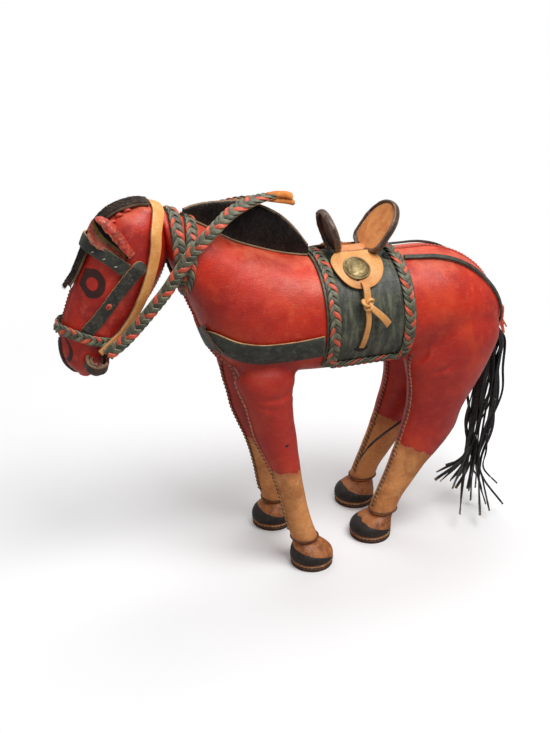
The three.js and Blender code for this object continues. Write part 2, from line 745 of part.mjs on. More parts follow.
// Blanket over the back, with a braided edging all round its border
function addBlanket() {
  const drop = toRadians(blanketDrop);
  const grid = (lift) => Array.from({ length: blanketRows + 1 }, (_, i) => {
    const t = -drop + (2 * drop * i) / blanketRows;
    return Array.from({ length: blanketColumns + 1 }, (__, j) => {
      const { s } = trunkPlaceAtX(THREE.MathUtils.lerp(blanketFront, blanketRear, j / blanketColumns), t);
      return trunk.at(s, t, lift);
    });
  });
  addNode('blanket', slab(grid(blanketTop), grid(blanketTop - blanketLeather)), 'darkLeather');
  const inset = edgingInset + edgingWidth / 2;
  const [front, rear] = [blanketFront + inset, blanketRear - inset];
  const low = drop - inset / trunkStations[8].half;
  const border = [];
  const sideRun = low - edgingCorner;
  const addSide = (x, direction) => {
    for (let i = 0; i <= blanketRows; i += 1) {
      border.push(trunkPlaceAtX(x, direction * (-sideRun + (2 * sideRun * i) / blanketRows)));
    }
  };
  const addEnd = (from, to, t) => {
    for (let i = 1; i < edgingEndSteps; i += 1) {
      border.push(trunkPlaceAtX(THREE.MathUtils.lerp(from, to, i / edgingEndSteps), t));
    }
  };
  addSide(front, 1);
  addEnd(front, rear, low);
  addSide(rear, -1);
  addEnd(rear, front, -low);
  addNode('blanket_edging', surfaceStrap(trunk, border, {
    width: edgingWidth, lift: blanketTop + strapLift, thickness: braidThickness, across: 1, closed: true,
  }), 'braidLeather');
}

// Bands round the neck: the braid behind the head and the collar braid that meets it below
const crownPlace = () => crownBraidPlace;

function collarPlace(t) {
  const open = (1 + Math.cos(t)) / 2;
  const touching = crownBraidPlace + collarBraidPitch;
  return touching + collarBraidSpread * open ** 2;
}

function neckBand(placeAt, width) {
  return surfaceStrap(trunk, ringPath(placeAt, bandSteps), {
    width, lift: neckBandLift, thickness: braidThickness, across: 3, closed: true,
  });
}

function addNeckBands() {
  addNode('crown_braid', neckBand(crownPlace, crownBraidWidth), 'braidLeather');
  addNode('collar_braid', neckBand(collarPlace, collarBraidWidth), 'braidLeather');
}

// Breast collar from one side of the blanket round the chest to the other
function addBreastCollar() {
  const left = breastLine.map(([x, z]) => locate(trunk, x, z, 1));
  const chest = { s: left[4].s - 0.008, t: Math.PI };
  const right = [...left].reverse().map(({ s, t }) => ({ s, t: 2 * Math.PI - t }));
  addNode('breast_collar', surfaceStrap(trunk, smoothPath([...left, chest, ...right], breastSteps), {
    width: breastWidth, lift: breastLift, thickness: strapLeather,
  }), 'darkLeather');
  const across = locate(trunk, ...keeperPoint, 1);
  const upright = [-1, 0, 1].map((step) => (
    { s: across.s + step * keeperReach, t: across.t - step * keeperSlant }));
  addNode('breast_keeper', surfaceStrap(trunk, smoothPath(upright, keeperSteps), {
    width: keeperWidth, lift: breastLift + seatGap + strapLeather, thickness: strapLeather,
  }), 'darkLeather');
}

// Crupper: one strap from the blanket down each side of the rump and under the tail
function addCrupper() {
  const left = crupperRun.map(([x, t]) => trunkPlaceAtX(x, t));
  left.push({ s: crupperPlace, t: crupperLow });
  const right = [...left].reverse().map(({ s, t }) => ({ s, t: 2 * Math.PI - t }));
  const run = smoothPath([...left, { s: crupperPlace, t: Math.PI }, ...right], crupperSteps);
  addNode('crupper', surfaceStrap(trunk, run, {
    width: crupperWidth, lift: crupperLift, thickness: strapLeather, across: 1,
  }), 'darkLeather');
}

// The saddle: seat with its side flaps, pommel and cantle paddles with rolled rims
function saddleEdges(t) {
  const share = Math.min(Math.abs(t) / toRadians(flapDrop), 1);
  const middle = (flapFront + flapRear) / 2;
  if (share < flapStart) {
    const blend = (share / flapStart) ** 2;
    return [seatFront + (flapFront - seatFront) * blend, seatRear + (flapRear - seatRear) * blend];
  }
  const down = (share - flapStart) / (1 - flapStart);
  const reach = THREE.MathUtils.lerp(flapTip, 1, Math.sqrt(Math.max(1 - down ** flapRoundness, 0)));
  return [middle + (flapFront - middle) * reach, middle + (flapRear - middle) * reach];
}

function saddleSlab(low, high) {
  const drop = toRadians(flapDrop);
  const grid = (lift) => Array.from({ length: saddleRows + 1 }, (_, i) => {
    const t = -drop + (2 * drop * i) / saddleRows;
    const [front, rear] = saddleEdges(t);
    return Array.from({ length: blanketColumns + 1 }, (__, j) => {
      const { s } = trunkPlaceAtX(THREE.MathUtils.lerp(front, rear, j / blanketColumns), t);
      return trunk.at(s, t, lift);
    });
  });
  return slab(grid(high), grid(low));
}

function ovalShape(width, height, inset = 0) {
  const shape = new THREE.Shape();
  shape.absellipse(0, height / 2, width / 2 - inset, height / 2 - inset, 0, 2 * Math.PI, false, 0);
  return shape;
}

// A rolled rim round an oval
function ovalRim(width, height) {
  return tubeLoop(Array.from({ length: rimTurns }, (_, i) => {
    const angle = (2 * Math.PI * i) / rimTurns;
    const outward = new THREE.Vector3(Math.cos(angle) / width, Math.sin(angle) / height, 0).normalize();
    const middle = new THREE.Vector3(width * Math.cos(angle), height * (1 + Math.sin(angle)), 0);
    middle.multiplyScalar(0.5);
    return Array.from({ length: rimSides }, (__, j) => {
      const turn = (2 * Math.PI * j) / rimSides;
      return middle.clone().addScaledVector(outward, (rimThickness / 2) * Math.cos(turn))
        .add(new THREE.Vector3(0, 0, (rimThickness / 2) * Math.sin(turn)));
    });
  }));
}

function ovalDisc(width, height, inset, thickness) {
  const disc = new THREE.ExtrudeGeometry(ovalShape(width, height, inset), {
    depth: thickness, curveSegments: rimTurns / 2, bevelEnabled: false,
  });
  disc.translate(0, 0, -thickness / 2);
  return disc;
}

// Stand an oval on the seat so that it leans about its foot
function standOnSeat(geometry, x, lean) {
  geometry.rotateX(Math.PI / 2);
  geometry.rotateZ(Math.PI / 2);
  geometry.rotateY(toRadians(-lean));
  const foot = trunk.at(trunkPlaceAtX(x, 0).s, 0, saddleTop);
  geometry.translate(x, 0, foot.z - paddleSink);
  return geometry;
}

function addPommel() {
  const stand = (geometry) => standOnSeat(geometry, pommelX, pommelLean);
  const disc = stand(ovalDisc(pommelWidth, pommelHeight, 0, paddleThickness));
  addNode('pommel', cut(join(disc, stand(ovalRim(pommelWidth, pommelHeight))), saddleRoom), 'rimLeather');
}

function addCantle() {
  const stand = (geometry) => standOnSeat(geometry, cantleX, cantleLean);
  const disc = ovalDisc(cantleWidth, cantleHeight, rimThickness / 2 + seatGap, paddleThickness);
  const discRoom = ovalDisc(cantleWidth, cantleHeight, rimThickness / 2, paddleThickness + 2 * seatGap);
  addNode('cantle', cut(stand(disc), saddleRoom), 'saddleLeather');
  const rim = stand(ovalRim(cantleWidth, cantleHeight));
  addNode('cantle_rim', cut(rim, stand(discRoom), saddleRoom), 'rimLeather');
}

// A geometry made on the XY plane, set on the saddle flap with its axis along the surface normal
function setOnFlap(geometry, x, t, lift) {
  const place = trunkPlaceAtX(x, t);
  const { normal } = surfaceFrame(trunk, place.s, place.t);
  const turn = new THREE.Quaternion().setFromUnitVectors(new THREE.Vector3(0, 0, 1), normal);
  geometry.applyQuaternion(turn);
  const at = trunk.at(place.s, place.t).addScaledVector(normal, lift);
  geometry.translate(at.x, at.y, at.z);
  return geometry;
}

function addConcho(name, side) {
  const radius = conchoDiameter / 2;
  const profile = [[0, 0], [radius, 0], [radius, conchoEdge], [radius * 0.72, conchoHeight * 0.7],
    [radius * 0.36, conchoHeight * 0.93], [0, conchoHeight]];
  const dome = new THREE.LatheGeometry(profile.map(([r, z]) => new THREE.Vector2(r, z)), conchoSides);
  dome.rotateX(Math.PI / 2);
  addNode(name, setOnFlap(dome, conchoX, side * toRadians(conchoAngle), saddleTop + seatGap), 'brass');
}

// The lace hangs from the flap, is knotted, and goes down into the blanket
function addLace(name, side) {
  const strap = (path, width) => surfaceStrap(trunk, path, {
    width, lift: saddleTop + seatGap, thickness: laceThickness, across: 1,
  });
  const run = (x, from, to, steps) => Array.from({ length: steps + 1 }, (_, i) => (
    trunkPlaceAtX(x, side * toRadians(from + ((to - from) * i) / steps))));
  const knotPlace = trunkPlaceAtX(conchoX, side * toRadians(laceKnotAngle));
  const { normal } = surfaceFrame(trunk, knotPlace.s, knotPlace.t);
  const knot = new THREE.SphereGeometry(knotDiameter / 2, 8, 5);
  const knotLift = saddleTop + seatGap + knotDiameter / 2;
  const at = trunk.at(knotPlace.s, knotPlace.t).addScaledVector(normal, knotLift);
  knot.translate(at.x, at.y, at.z);
  const freeEnd = laceFreeEnd.map(([x, turn]) => (
    trunkPlaceAtX(conchoX + x, side * toRadians(laceKnotAngle + turn))));
  addNode(name, join(strap(run(conchoX, laceTopAngle, laceFootAngle, laceSteps), laceWidth),
    strap(smoothPath(freeEnd, 4), laceWidth), knot), 'saddleLeather');
}

const saddleRoom = saddleSlab(saddleTop - saddleLeather - saddleRoomDepth, saddleTop + seatGap);

function addSaddle() {
  addNode('saddle_seat', saddleSlab(saddleTop - saddleLeather, saddleTop), 'saddleLeather');
  addPommel();
  addCantle();
  for (const [side, label] of [[1, 'left'], [-1, 'right']]) {
    addConcho(`concho_${label}`, side);
    addLace(`lace_${label}`, side);
  }
}

// Bridle straps that lie on the head
function headStrap(path, width, lift, thickness, steps) {
  return surfaceStrap(head, smoothPath(path, steps), { width, lift, thickness, across: 1 });
}

const mirrored = (places) => places.map(({ s, t }) => ({ s, t: -t }));

function addBridle() {
  const bandAt = ([x, z]) => locate(head, x, z, 1);
  const browHalf = [bandAt(browEnd), { s: browPlace, t: 0.6 }];
  const browLift = (u) => strapLift + browbandStandOff * Math.sin(Math.PI * u) ** 2;
  const brow = [...browHalf, { s: browPlace - browRise, t: 0 }, ...mirrored(browHalf).reverse()];
  addNode('browband', headStrap(brow,
    browbandWidth, browLift, strapLeather, browSteps), 'darkLeather');
  const cheek = cheekLine.map(bandAt);
  const nose = [...noseEnd.map(bandAt), { s: nosebandPlace, t: 0.7 }, { s: nosebandPlace, t: 0 }];
  const noseLift = (u) => strapLift + nosebandStandOff * Math.sin(Math.PI * u) ** 2;
  addNode('noseband', headStrap([...nose, ...mirrored(nose.slice(0, 3)).reverse()],
    nosebandWidth, noseLift, braidThickness, noseSteps), 'braidLeather');
  for (const [label, side] of [['left', 1], ['right', -1]]) {
    const line = side > 0 ? cheek : mirrored(cheek);
    addNode(`cheek_strap_${label}`, headStrap(line, cheekStrapWidth, strapLift, strapLeather, cheekSteps),
      'darkLeather');
  }
}

// The tan strap over the poll runs down behind each cheek to the bit
function headMark(x, z, lift) {
  const place = locate(head, x, z, 1);
  const { normal } = surfaceFrame(head, place.s, place.t);
  return { at: head.at(place.s, place.t).addScaledVector(normal, lift), face: normal };
}

function pollMark(t, lift) {
  const { normal } = surfaceFrame(trunk, pollStrapPlace, t);
  const at = trunk.at(pollStrapPlace, t).addScaledVector(normal, lift);
  at.x -= pollStrapForward;
  return { at, face: normal };
}

function addPollStrap() {
  const overStrap = strapLift + strapLeather + seatGap + strapLeather / 2;
  const overPoll = overStrap + pollStrapRise;
  const overBraid = strapLift + braidThickness + seatGap + strapLeather / 2;
  const near = [
    ...pollStrapLow.map(([x, z]) => headMark(x, z, overBraid)),
    ...pollStrapHigh.map(([x, z]) => headMark(x, z, overStrap)),
  ];
  const over = pollStrapTurns.map((t) => pollMark(t, overPoll));
  const marks = [...near, ...over, pollMark(0, overPoll), ...[...near, ...over].reverse().map(mirrorMark)];
  addNode('poll_strap', openStrap(marks, {
    width: headStrapWidth, thickness: strapLeather, steps: pollSteps,
    taper: (u) => Math.min(1, pollStrapTaper[0] + pollStrapTaper[1] * Math.min(u, 1 - u)),
  }), 'tanLeather');
}

// Rings at the mouth corners that the reins and the poll strap hang on
function addBitRing(name, side) {
  const ring = new THREE.TorusGeometry(bitRingRadius, bitRingThickness / 2, rimSides, cordSteps);
  ring.rotateX(Math.PI / 2);
  const cheekAt = (dx, dz) => {
    const place = locate(head, bitX + dx, bitZ + dz, 1);
    return -head.at(place.s, place.t).y;
  };
  const widest = Math.max(cheekAt(0, 0), cheekAt(-bitRingRadius, 0), cheekAt(0, bitRingRadius),
    cheekAt(-0.8 * bitRingRadius, 0.8 * bitRingRadius));
  const reach = widest + strapLift + bitRingThickness / 2;
  ring.translate(bitX, -side * reach, bitZ);
  addNode(name, ring, 'darkLeather');
}

// Braided reins from the bit under the jaw, up the side of the neck and over the mane
function reinMarks(crownLift) {
  const { y } = trunk.at(...Object.values(locate(trunk, ...reinNeckPoint, 1)));
  const neckSide = y - strapLift - braidThickness - reinStandOff;
  const crest = maneTopAt(reinCrossing) + 2 * seatGap + reinLeather / 2 + crownLift;
  return [
    ...reinUpNeck.map(([x, inward, z, face]) => mark([x, neckSide + inward, z], face)),
    ...reinOverCrest.map(([x, y2, fall, face]) => mark([x, y2, crest - fall], face)),
  ];
}

function addReins() {
  for (const [name, side, lift] of [['rein_left', 1, reinLeather + seatGap], ['rein_right', -1, 0]]) {
    const marks = reinMarks(lift);
    addNode(name, openStrap(side > 0 ? marks : marks.map(mirrorMark), {
      width: reinWidth, thickness: reinLeather, steps: reinSteps,
    }), 'braidLeather');
  }
}

// Mane: an upright strip of hide along the crest
function maneTopAt(x) {
  const next = Math.max(maneTopline.findIndex(([mx]) => mx > x), 1);
  const [[x0, z0], [x1, z1]] = [maneTopline[next - 1], maneTopline[next]];
  return z0 + ((z1 - z0) * (x - x0)) / (x1 - x0);
}

function addMane() {
  const shape = new THREE.Shape();
  maneTopline.forEach(([x, z], i) => (i === 0 ? shape.moveTo(x, z) : shape.lineTo(x, z)));
  const [first, last] = [maneTopline[0][0], maneTopline[maneTopline.length - 1][0]];
  for (let i = 0; i <= maneSteps; i += 1) {
    const x = THREE.MathUtils.lerp(last - maneRearInset, first, i / maneSteps);
    const base = trunk.at(trunkPlaceAtX(x, 0).s, 0, strapLift);
    shape.lineTo(base.x, base.z);
  }
  const hide = new THREE.ExtrudeGeometry(shape, { depth: maneThickness, bevelEnabled: false });
  hide.rotateX(Math.PI / 2);
  hide.translate(0, maneThickness / 2, 0);
  const bandRoom = (placeAt, width) => surfaceStrap(trunk, ringPath(placeAt, bandSteps), {
    width: width + 2 * seatGap,
    lift: -bandRoomDepth,
    thickness: bandRoomDepth + neckBandLift + braidThickness + seatGap,
    closed: true,
  });
  const rooms = [bandRoom(collarPlace, collarBraidWidth), bandRoom(crownPlace, crownBraidWidth)];
  addNode('mane', cut(hide, ...rooms), 'hair');
}

// Forelock: a strip of hide over the poll and down the forehead under the browband
function addForelock() {
  const place = (s, lift) => {
    const { normal } = surfaceFrame(head, s, 0);
    return { at: head.at(s, 0).addScaledVector(normal, lift + forelockThickness / 2), face: normal };
  };
  const poll = head.at(0, 0);
  const overPoll = poll.z + strapLift + seatGap + forelockThickness / 2;
  const marks = [
    mark([poll.x + forelockRear, 0, overPoll - seatGap], [0, 0, 1]),
    mark([poll.x, 0, overPoll], [-0.1, 0, 1]),
    ...forelockRun.map(([s, lift]) => place(s, lift)),
  ];
  addNode('forelock', openStrap(marks, {
    width: forelockWidth, thickness: forelockThickness, steps: forelockSteps,
  }), 'hair');
}

// Ears: rolled leather leaves that spring forward from the sides of the head
function addEar(name, side) {
  const base = new THREE.Vector3(...earBase);
  const tip = new THREE.Vector3(...earTip);
  const axis = tip.clone().sub(base).normalize();
  const outward = new THREE.Vector3(0, -1, 0).addScaledVector(axis, axis.y).normalize();
  const across = axis.clone().cross(outward);
  const grid = (lift) => Array.from({ length: earRings + 1 }, (_, i) => {
    const u = i / earRings;
    const radius = earRadius * (earSwell[0] + earSwell[1] * u - earSwell[2] * u ** 3) + lift;
    const opening = THREE.MathUtils.lerp(...earOpening, u);
    return Array.from({ length: earSides + 1 }, (__, j) => {
      const angle = Math.PI + (2 * Math.PI - 2 * opening) * (j / earSides - 0.5);
      const point = base.clone().lerp(tip, u)
        .addScaledVector(outward, radius * Math.cos(angle))
        .addScaledVector(across, radius * Math.sin(angle));
      point.y *= side;
      return point;
    });
  });
  const leaf = slab(grid(0), grid(-strapLeather));
  addNode(name, cut(leaf, head.solid(seatGap + facetRoom, headRings, 2 * headHalfSides)), 'redLeather');
}

// Tail: the dock wrap and a bundle of cut leather strips fused at their root
const dockX = trunk.at(1, 0).x + 2 * seatGap + dockDiameter / 2;

function addDock() {
  const radius = dockDiameter / 2;
  const profile = [[0, 0], [radius * dockTuck, 0], [radius, dockCollar], [radius, dockLength - dockCollar],
    [radius * dockTuck, dockLength], [0, dockLength]];
  const wrap = new THREE.LatheGeometry(profile.map(([r, z]) => new THREE.Vector2(r, z)), dockSides);
  wrap.rotateX(Math.PI / 2);
  wrap.translate(dockX, 0, dockFoot);
  addNode('tail_dock', wrap, 'redLeather');
}

function tailStrip(marks, width = stripWidth) {
  return openStrap(marks, {
    width, thickness: stripThickness, steps: stripSteps, taper: (u) => 1 - stripTaper * u,
  });
}

// The strips bow back from the dock, gather above the ground and fan out to their tips
function fanStrip(index, rootZ) {
  const turn = index * goldenAngle;
  const spread = Math.sqrt((index + 0.5) / tailStripCount);
  const [cx, cy] = [Math.cos(turn) * spread, Math.sin(turn) * spread];
  const tip = [tailFanMiddle[0] + tailFan[0] * cx, tailFanMiddle[1] + tailFan[1] * cy];
  const unevenness = ((index * 7) % 5) / 4;
  const reach = tailReach - tailUneven * unevenness;
  const tipZ = tailHingeHeight - Math.sqrt(reach ** 2 - tip[0] ** 2 - tip[1] ** 2);
  const fall = rootZ - tipZ;
  const root = dockDiameter * tailRootShare * 0.75;
  const face = [Math.cos(turn), Math.sin(turn), 0.2];
  const at = (dx, dy, drop) => mark([dockX + dx, dy, rootZ - drop], face);
  return tailStrip([
    at(root * cx, root * cy, tailRootThickness / 2),
    at(tailBow[0] / 2 + tailBowWidth[0] * cx * 0.6, tailBowWidth[1] * cy * 0.6, 0.2 * fall),
    at(tailBow[0] + tailBowWidth[0] * cx, tailBow[1] + tailBowWidth[1] * cy, 0.45 * fall),
    at(tailGather[0] + tailGatherWidth * cx, tailGather[1] + tailGatherWidth * cy, 0.78 * fall),
    at(tip[0], tip[1], fall),
  ]);
}

function addTailStrips() {
  const rootZ = dockFoot - tailRootGap;
  const rootRadius = dockDiameter * tailRootShare;
  const root = new THREE.CylinderGeometry(tailRootTop, rootRadius, tailRootThickness, stripRootSides);
  root.rotateX(Math.PI / 2);
  root.translate(dockX, 0, rootZ - tailRootThickness / 2);
  const strips = Array.from({ length: tailStripCount }, (_, i) => fanStrip(i, rootZ));
  addNode('tail_strips', join(root, ...strips), 'tailLeather');
}

// One strip has swung forward between the hind legs
function addForwardStrip() {
  const turn = toRadians(forwardStripTurn);
  const beside = dockDiameter / 2 + seatGap + stripThickness / 2;
  const face = [Math.cos(turn), Math.sin(turn), 0];
  const start = mark([dockX + beside * face[0], beside * face[1], dockFoot + dockCollar + 2], face);
  const run = forwardStripLine.map((point) => mark(point, [0.7, 0, 0.7]));
  addNode('tail_strip_forward', tailStrip([start, ...run], forwardStripWidth), 'tailLeather');
}

const bores = addLegs();
addBody(bores);
addHead();
addBlanket();
addNeckBands();
addBreastCollar();
addCrupper();
addSaddle();
addBridle();
addPollStrap();
addBitRing('bit_ring_left', 1);
addBitRing('bit_ring_right', -1);
addReins();
addMane();
addForelock();
addEar('ear_left', 1);
addEar('ear_right', -1);
addDock();
addTailStrips();
addForwardStrip();

// Stand the model on the ground plane with its middle over the origin
const box = new THREE.Box3().setFromObject(model);
model.position.set(-(box.min.x + box.max.x) / 2, -(box.min.y + box.max.y) / 2, -box.min.z);

export default model;
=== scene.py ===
# Leather horse figurine: the looks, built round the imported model.
# Shapes are worked out in millimetres in the model's own layout and moved to the frame at the end.

import bpy
import bmesh
import numpy as np
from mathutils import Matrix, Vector
from mathutils.bvhtree import BVHTree


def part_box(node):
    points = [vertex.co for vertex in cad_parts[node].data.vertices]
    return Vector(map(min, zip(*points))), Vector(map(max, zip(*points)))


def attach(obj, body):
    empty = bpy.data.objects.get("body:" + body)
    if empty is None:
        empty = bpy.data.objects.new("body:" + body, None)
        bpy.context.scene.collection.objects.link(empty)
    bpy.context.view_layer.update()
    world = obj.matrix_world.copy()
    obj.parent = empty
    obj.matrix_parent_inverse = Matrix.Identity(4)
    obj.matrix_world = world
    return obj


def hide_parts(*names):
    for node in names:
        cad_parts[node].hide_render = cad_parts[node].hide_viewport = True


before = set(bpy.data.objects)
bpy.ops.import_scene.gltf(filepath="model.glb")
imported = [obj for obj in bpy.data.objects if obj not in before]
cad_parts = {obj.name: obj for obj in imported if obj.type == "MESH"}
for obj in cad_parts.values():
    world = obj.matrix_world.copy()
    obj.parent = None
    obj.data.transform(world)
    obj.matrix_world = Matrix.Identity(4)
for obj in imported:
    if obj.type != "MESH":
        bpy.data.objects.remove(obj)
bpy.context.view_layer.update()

MM = 0.001
PI = np.pi
rng = np.random.default_rng(11)
sole_low, sole_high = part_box("front_leg_left_sole")
sole_middle = np.array((sole_low + sole_high) / 2) / MM
OFFSET = np.array([sole_middle[0] - 13, sole_middle[1] + 34.3, 0.0])

# Profiles: topline x z, underline x z, half width, egg
TRUNK = [
    (-70, 232.5, -61.5, 194, 14, .1), (-58, 227.5, -57, 183, 16.5, .14), (-43, 219, -52, 171, 20.5, .16),
    (-27, 209, -46.5, 157, 26, .16), (-10, 202, -39.5, 140.5, 30.5, .12), (6, 197, -26, 127.5, 33.5, .06),
    (22, 194, -4, 124, 34.5, 0), (37, 193, 25, 122.5, 35, 0), (52, 192.5, 51, 122.5, 35, 0),
    (68, 192, 73, 122.5, 35, 0), (84, 191.5, 93, 123.5, 35, 0), (101, 191, 109, 124.5, 34.5, 0),
    (117, 186.5, 123, 126, 32.5, 0), (131, 177.5, 135, 129, 28, 0), (142, 165.5, 144, 134, 19.5, 0),
    (148, 153.5, 148.5, 138, 8.5, 0)]
HEAD = [
    (-84, 235.5, -69, 230, 9, 0), (-96.5, 231.5, -65, 218, 14.5, 0), (-105.5, 222.5, -65.5, 206, 17, 0),
    (-111.8, 209.5, -69.5, 194.5, 18, 0), (-118.5, 195, -75.5, 184, 17, 0), (-124, 181, -83, 174, 15, 0),
    (-128, 168, -92, 163.5, 13.8, 0), (-129.5, 156.5, -100, 152.5, 12.8, 0),
    (-127.5, 146.5, -106.5, 143.5, 10.2, 0), (-121, 139, -112.5, 138.5, 5, 0)]
FRONT_LEG = [
    (-22, 141, 0, 141, 8, 0), (-31, 129, 5, 130, 13.5, 0), (-29, 117, 3.2, 117, 13.5, 0),
    (-25, 102, 3.2, 102, 12.5, 0), (-22, 90, 4.6, 88, 11.5, 0), (-13.5, 71, 6.6, 69, 10, 0),
    (-8.5, 56, 8.4, 55, 9, 0), (-5.5, 42, 10.8, 41, 8, 0), (-2.7, 29, 14, 28, 7.7, 0),
             (.5, 17.5, 17.5, 17.5, 8, 0)]
HIND_LEG = [
    (97, 154, 141, 148, 14, 0), (85, 141, 143, 136, 17, 0), (80, 124, 139, 124, 17.5, 0),
    (82.5, 108, 130.5, 107, 16, 0), (82.5, 92, 121.5, 90, 14, 0), (79.5, 78, 116.5, 73, 12, 0),
    (76.5, 66, 106.5, 60, 10.5, 0), (72.5, 54, 97, 49.5, 9.2, 0), (67.5, 40, 88.5, 37.5, 8.4, 0),
    (63, 28, 81, 26.5, 8, 0), (59.5, 17.5, 77.5, 17.5, 8.2, 0)]
LEGS = [
    ("front_leg_left", FRONT_LEG, -1, (9, -32.5), (13, -34.3), .56),
    ("front_leg_right", FRONT_LEG, 1, (6.5, 19.5), (4.5, 18.5), .56),
    ("hind_leg_left", HIND_LEG, -1, (68.5, -18), (61, -17), .62),
    ("hind_leg_right", HIND_LEG, 1, (73, 27), (67.5, 26.5), .62)]
HIP_OFFSET = 19
STRAP_LIFT = .45
STRAP = 1.3
BRAID = 2.0
BLANKET_TOP = 1.6
SADDLE_TOP = 3.5


# Small vector helpers
def unit(a):
    a = np.asarray(a, float)
    return a / np.maximum(np.linalg.norm(a, axis=-1, keepdims=True), 1e-9)


def smoothstep(low, high, x):
    t = np.clip((x - low) / (high - low), 0, 1)
    return t * t * (3 - 2 * t)


def smooth(points, s):
    """A uniform Catmull-Rom curve through the points, at shares s from 0 to 1."""
    p = np.asarray(points, float)
    ghost = np.vstack([2 * p[0] - p[1], p, 2 * p[-1] - p[-2]])
    place = np.clip(np.asarray(s, float), 0, 1) * (len(p) - 1)
    i = np.minimum(place.astype(int), len(p) - 2)
    w = (place - i)[..., None]
    p0, p1, p2, p3 = (ghost[i + k] for k in range(4))
    t0, t1 = .5 * (p2 - p0), .5 * (p3 - p1)
    return p1 + t0 * w + (3 * (p2 - p1) - 2 * t0 - t1) * w ** 2 + (2 * (p1 - p2) + t0 + t1) * w ** 3


def lengths(points):
    return np.concatenate([[0], np.cumsum(np.linalg.norm(np.diff(points, axis=0), axis=1))])


def evenly(points, spacing):
    """The points again at an even spacing along their line."""
    points = np.asarray(points, float)
    u = lengths(points)
    n = max(int(np.ceil(u[-1] / spacing)), 2)
    want = np.linspace(0, u[-1], n + 1)
    return np.stack([np.interp(want, u, points[:, k]) for k in range(points.shape[1])], -1)


def curve(points, spacing=1.0):
    return evenly(smooth(points, np.linspace(0, 1, 40 * len(points))), spacing)


class Form:
    """A stuffed form: s runs along it, t goes round it from the topline over the left side."""

    def __init__(self, stations, middle_y=lambda z: 0 * z, shift_x=lambda z: 0 * z):
        self.stations, self.middle_y, self.shift_x = np.array(stations, float), middle_y, shift_x

    def at(self, s, t, lift=0.0):
        s, t, lift = np.broadcast_arrays(np.asarray(s, float), np.asarray(t, float), lift)
        v = smooth(self.stations, s)
        arm, middle = (v[..., 0:2] - v[..., 2:4]) / 2, (v[..., 0:2] + v[..., 2:4]) / 2
        reach = np.linalg.norm(arm, axis=-1)
        m = middle + arm * ((reach + lift) / reach * np.cos(t))[..., None]
        y = self.middle_y(m[..., 1]) - (v[..., 4] + lift) * np.sin(t) * (1 - v[..., 5] * np.cos(t))
        return np.stack([m[..., 0] + self.shift_x(m[..., 1]), y, m[..., 1]], -1)

    def frame(self, s, t):
        e = 1e-3
        s = np.clip(s, 0, 1)
        here = self.at(s, t)
        low, high = np.maximum(s - e, 0), np.minimum(s + e, 1)
        along = (self.at(high, t) - self.at(low, t)) / np.asarray(high - low)[..., None]
        round_ = (self.at(s, t + e) - self.at(s, t - e)) / (2 * e)
        normal = unit(np.cross(along, round_))
        sign = np.sign(np.sum((here - self.at(s, t + PI)) * normal, -1))[..., None]
        return here, along, round_, normal * np.where(sign == 0, 1, sign)

    def locate(self, x, z, side=1):
        s, t = np.meshgrid(np.arange(0, 1.001, .02), np.arange(.02, PI, .08), indexing="ij")
        p = self.at(s, side * t)
        k = np.argmin(np.hypot(p[..., 0] - x, p[..., 2] - z))
        s, t = s.ravel()[k], side * t.ravel()[k]
        for _ in range(8):
            here, a, r, _n = self.frame(s, t)
            det = a[0] * r[2] - a[2] * r[0]
            if abs(det) < 1:
                break
            dx, dz = x - here[0], z - here[2]
            s, t = s + (dx * r[2] - dz * r[0]) / det, t + (dz * a[0] - dx * a[2]) / det
        return np.array([s, t])

    def sidestep(self, s, t, travel, distance):
        for _ in range(4):
            _h, a, r, n = self.frame(s, t)
            side = unit(np.cross(n, travel)) * (np.asarray(distance)[..., None] / 4)
            ss, st, tt = (np.sum(x * y, -1) for x, y in ((a, a), (a, r), (r, r)))
            p, q = np.sum(a * side, -1), np.sum(r * side, -1)
            det = ss * tt - st * st
            s, t = np.clip(s + (p * tt - q * st) / det, 0, 1), t + (q * ss - p * st) / det
        return s, t


def leg_form(stations, side, ankle):
    top, last = stations[0][1], stations[-1]
    own = (last[0] + last[2]) / 2

    def share(z):
        return np.clip((top - z) / (top - last[1]), 0, 1.1)
    return Form(stations, lambda z: side * HIP_OFFSET * (1 - share(z)) + ankle[1] * share(z),
                lambda z: (ankle[0] - own) * share(z))


trunk, head = Form(TRUNK), Form(HEAD)
legs = {name: leg_form(stations, side, ankle) for name, stations, side, ankle, _hoof, _line in LEGS}


def trunk_at_x(x, t):
    """The places along the trunk where the line round it at angle t shows x."""
    x, t = np.broadcast_arrays(np.asarray(x, float), np.asarray(t, float))
    low, high = np.zeros_like(x), np.ones_like(x)
    for _ in range(34):
        middle = (low + high) / 2
        less = trunk.at(middle, t)[..., 0] < x
        low, high = np.where(less, middle, low), np.where(less, high, middle)
    return (low + high) / 2


class Ribbon:
    """A strip of space over a line: u runs along it, v across it and h off it, all in mm."""

    def __init__(self, points, normals, across, closed=False):
        if closed:
            points, normals = np.concatenate([points, points[:1]]), np.concatenate([normals, normals[:1]])
        self.p, self.n, self.v, self.closed = points, normals, np.asarray(across, float), closed
        self.u = lengths(points[:, len(across) // 2])
        self.length = self.u[-1]

    def at(self, u, v, h):
        u, v, h = np.broadcast_arrays(np.asarray(u, float), np.asarray(v, float), np.asarray(h, float))
        if self.closed:
            u = u % self.length
        i = np.clip(np.searchsorted(self.u, u, side="right") - 1, 0, len(self.u) - 2)
        j = np.clip(np.searchsorted(self.v, v, side="right") - 1, 0, len(self.v) - 2)
        f = ((u - self.u[i]) / (self.u[i + 1] - self.u[i]))[..., None]
        g = ((v - self.v[j]) / (self.v[j + 1] - self.v[j]))[..., None]

        def mix(a):
            near, far = (a[i, k] * (1 - f) + a[i + 1, k] * f for k in (j, j + 1))
            return near * (1 - g) + far * g
        return mix(self.p) + h[..., None] * unit(mix(self.n))


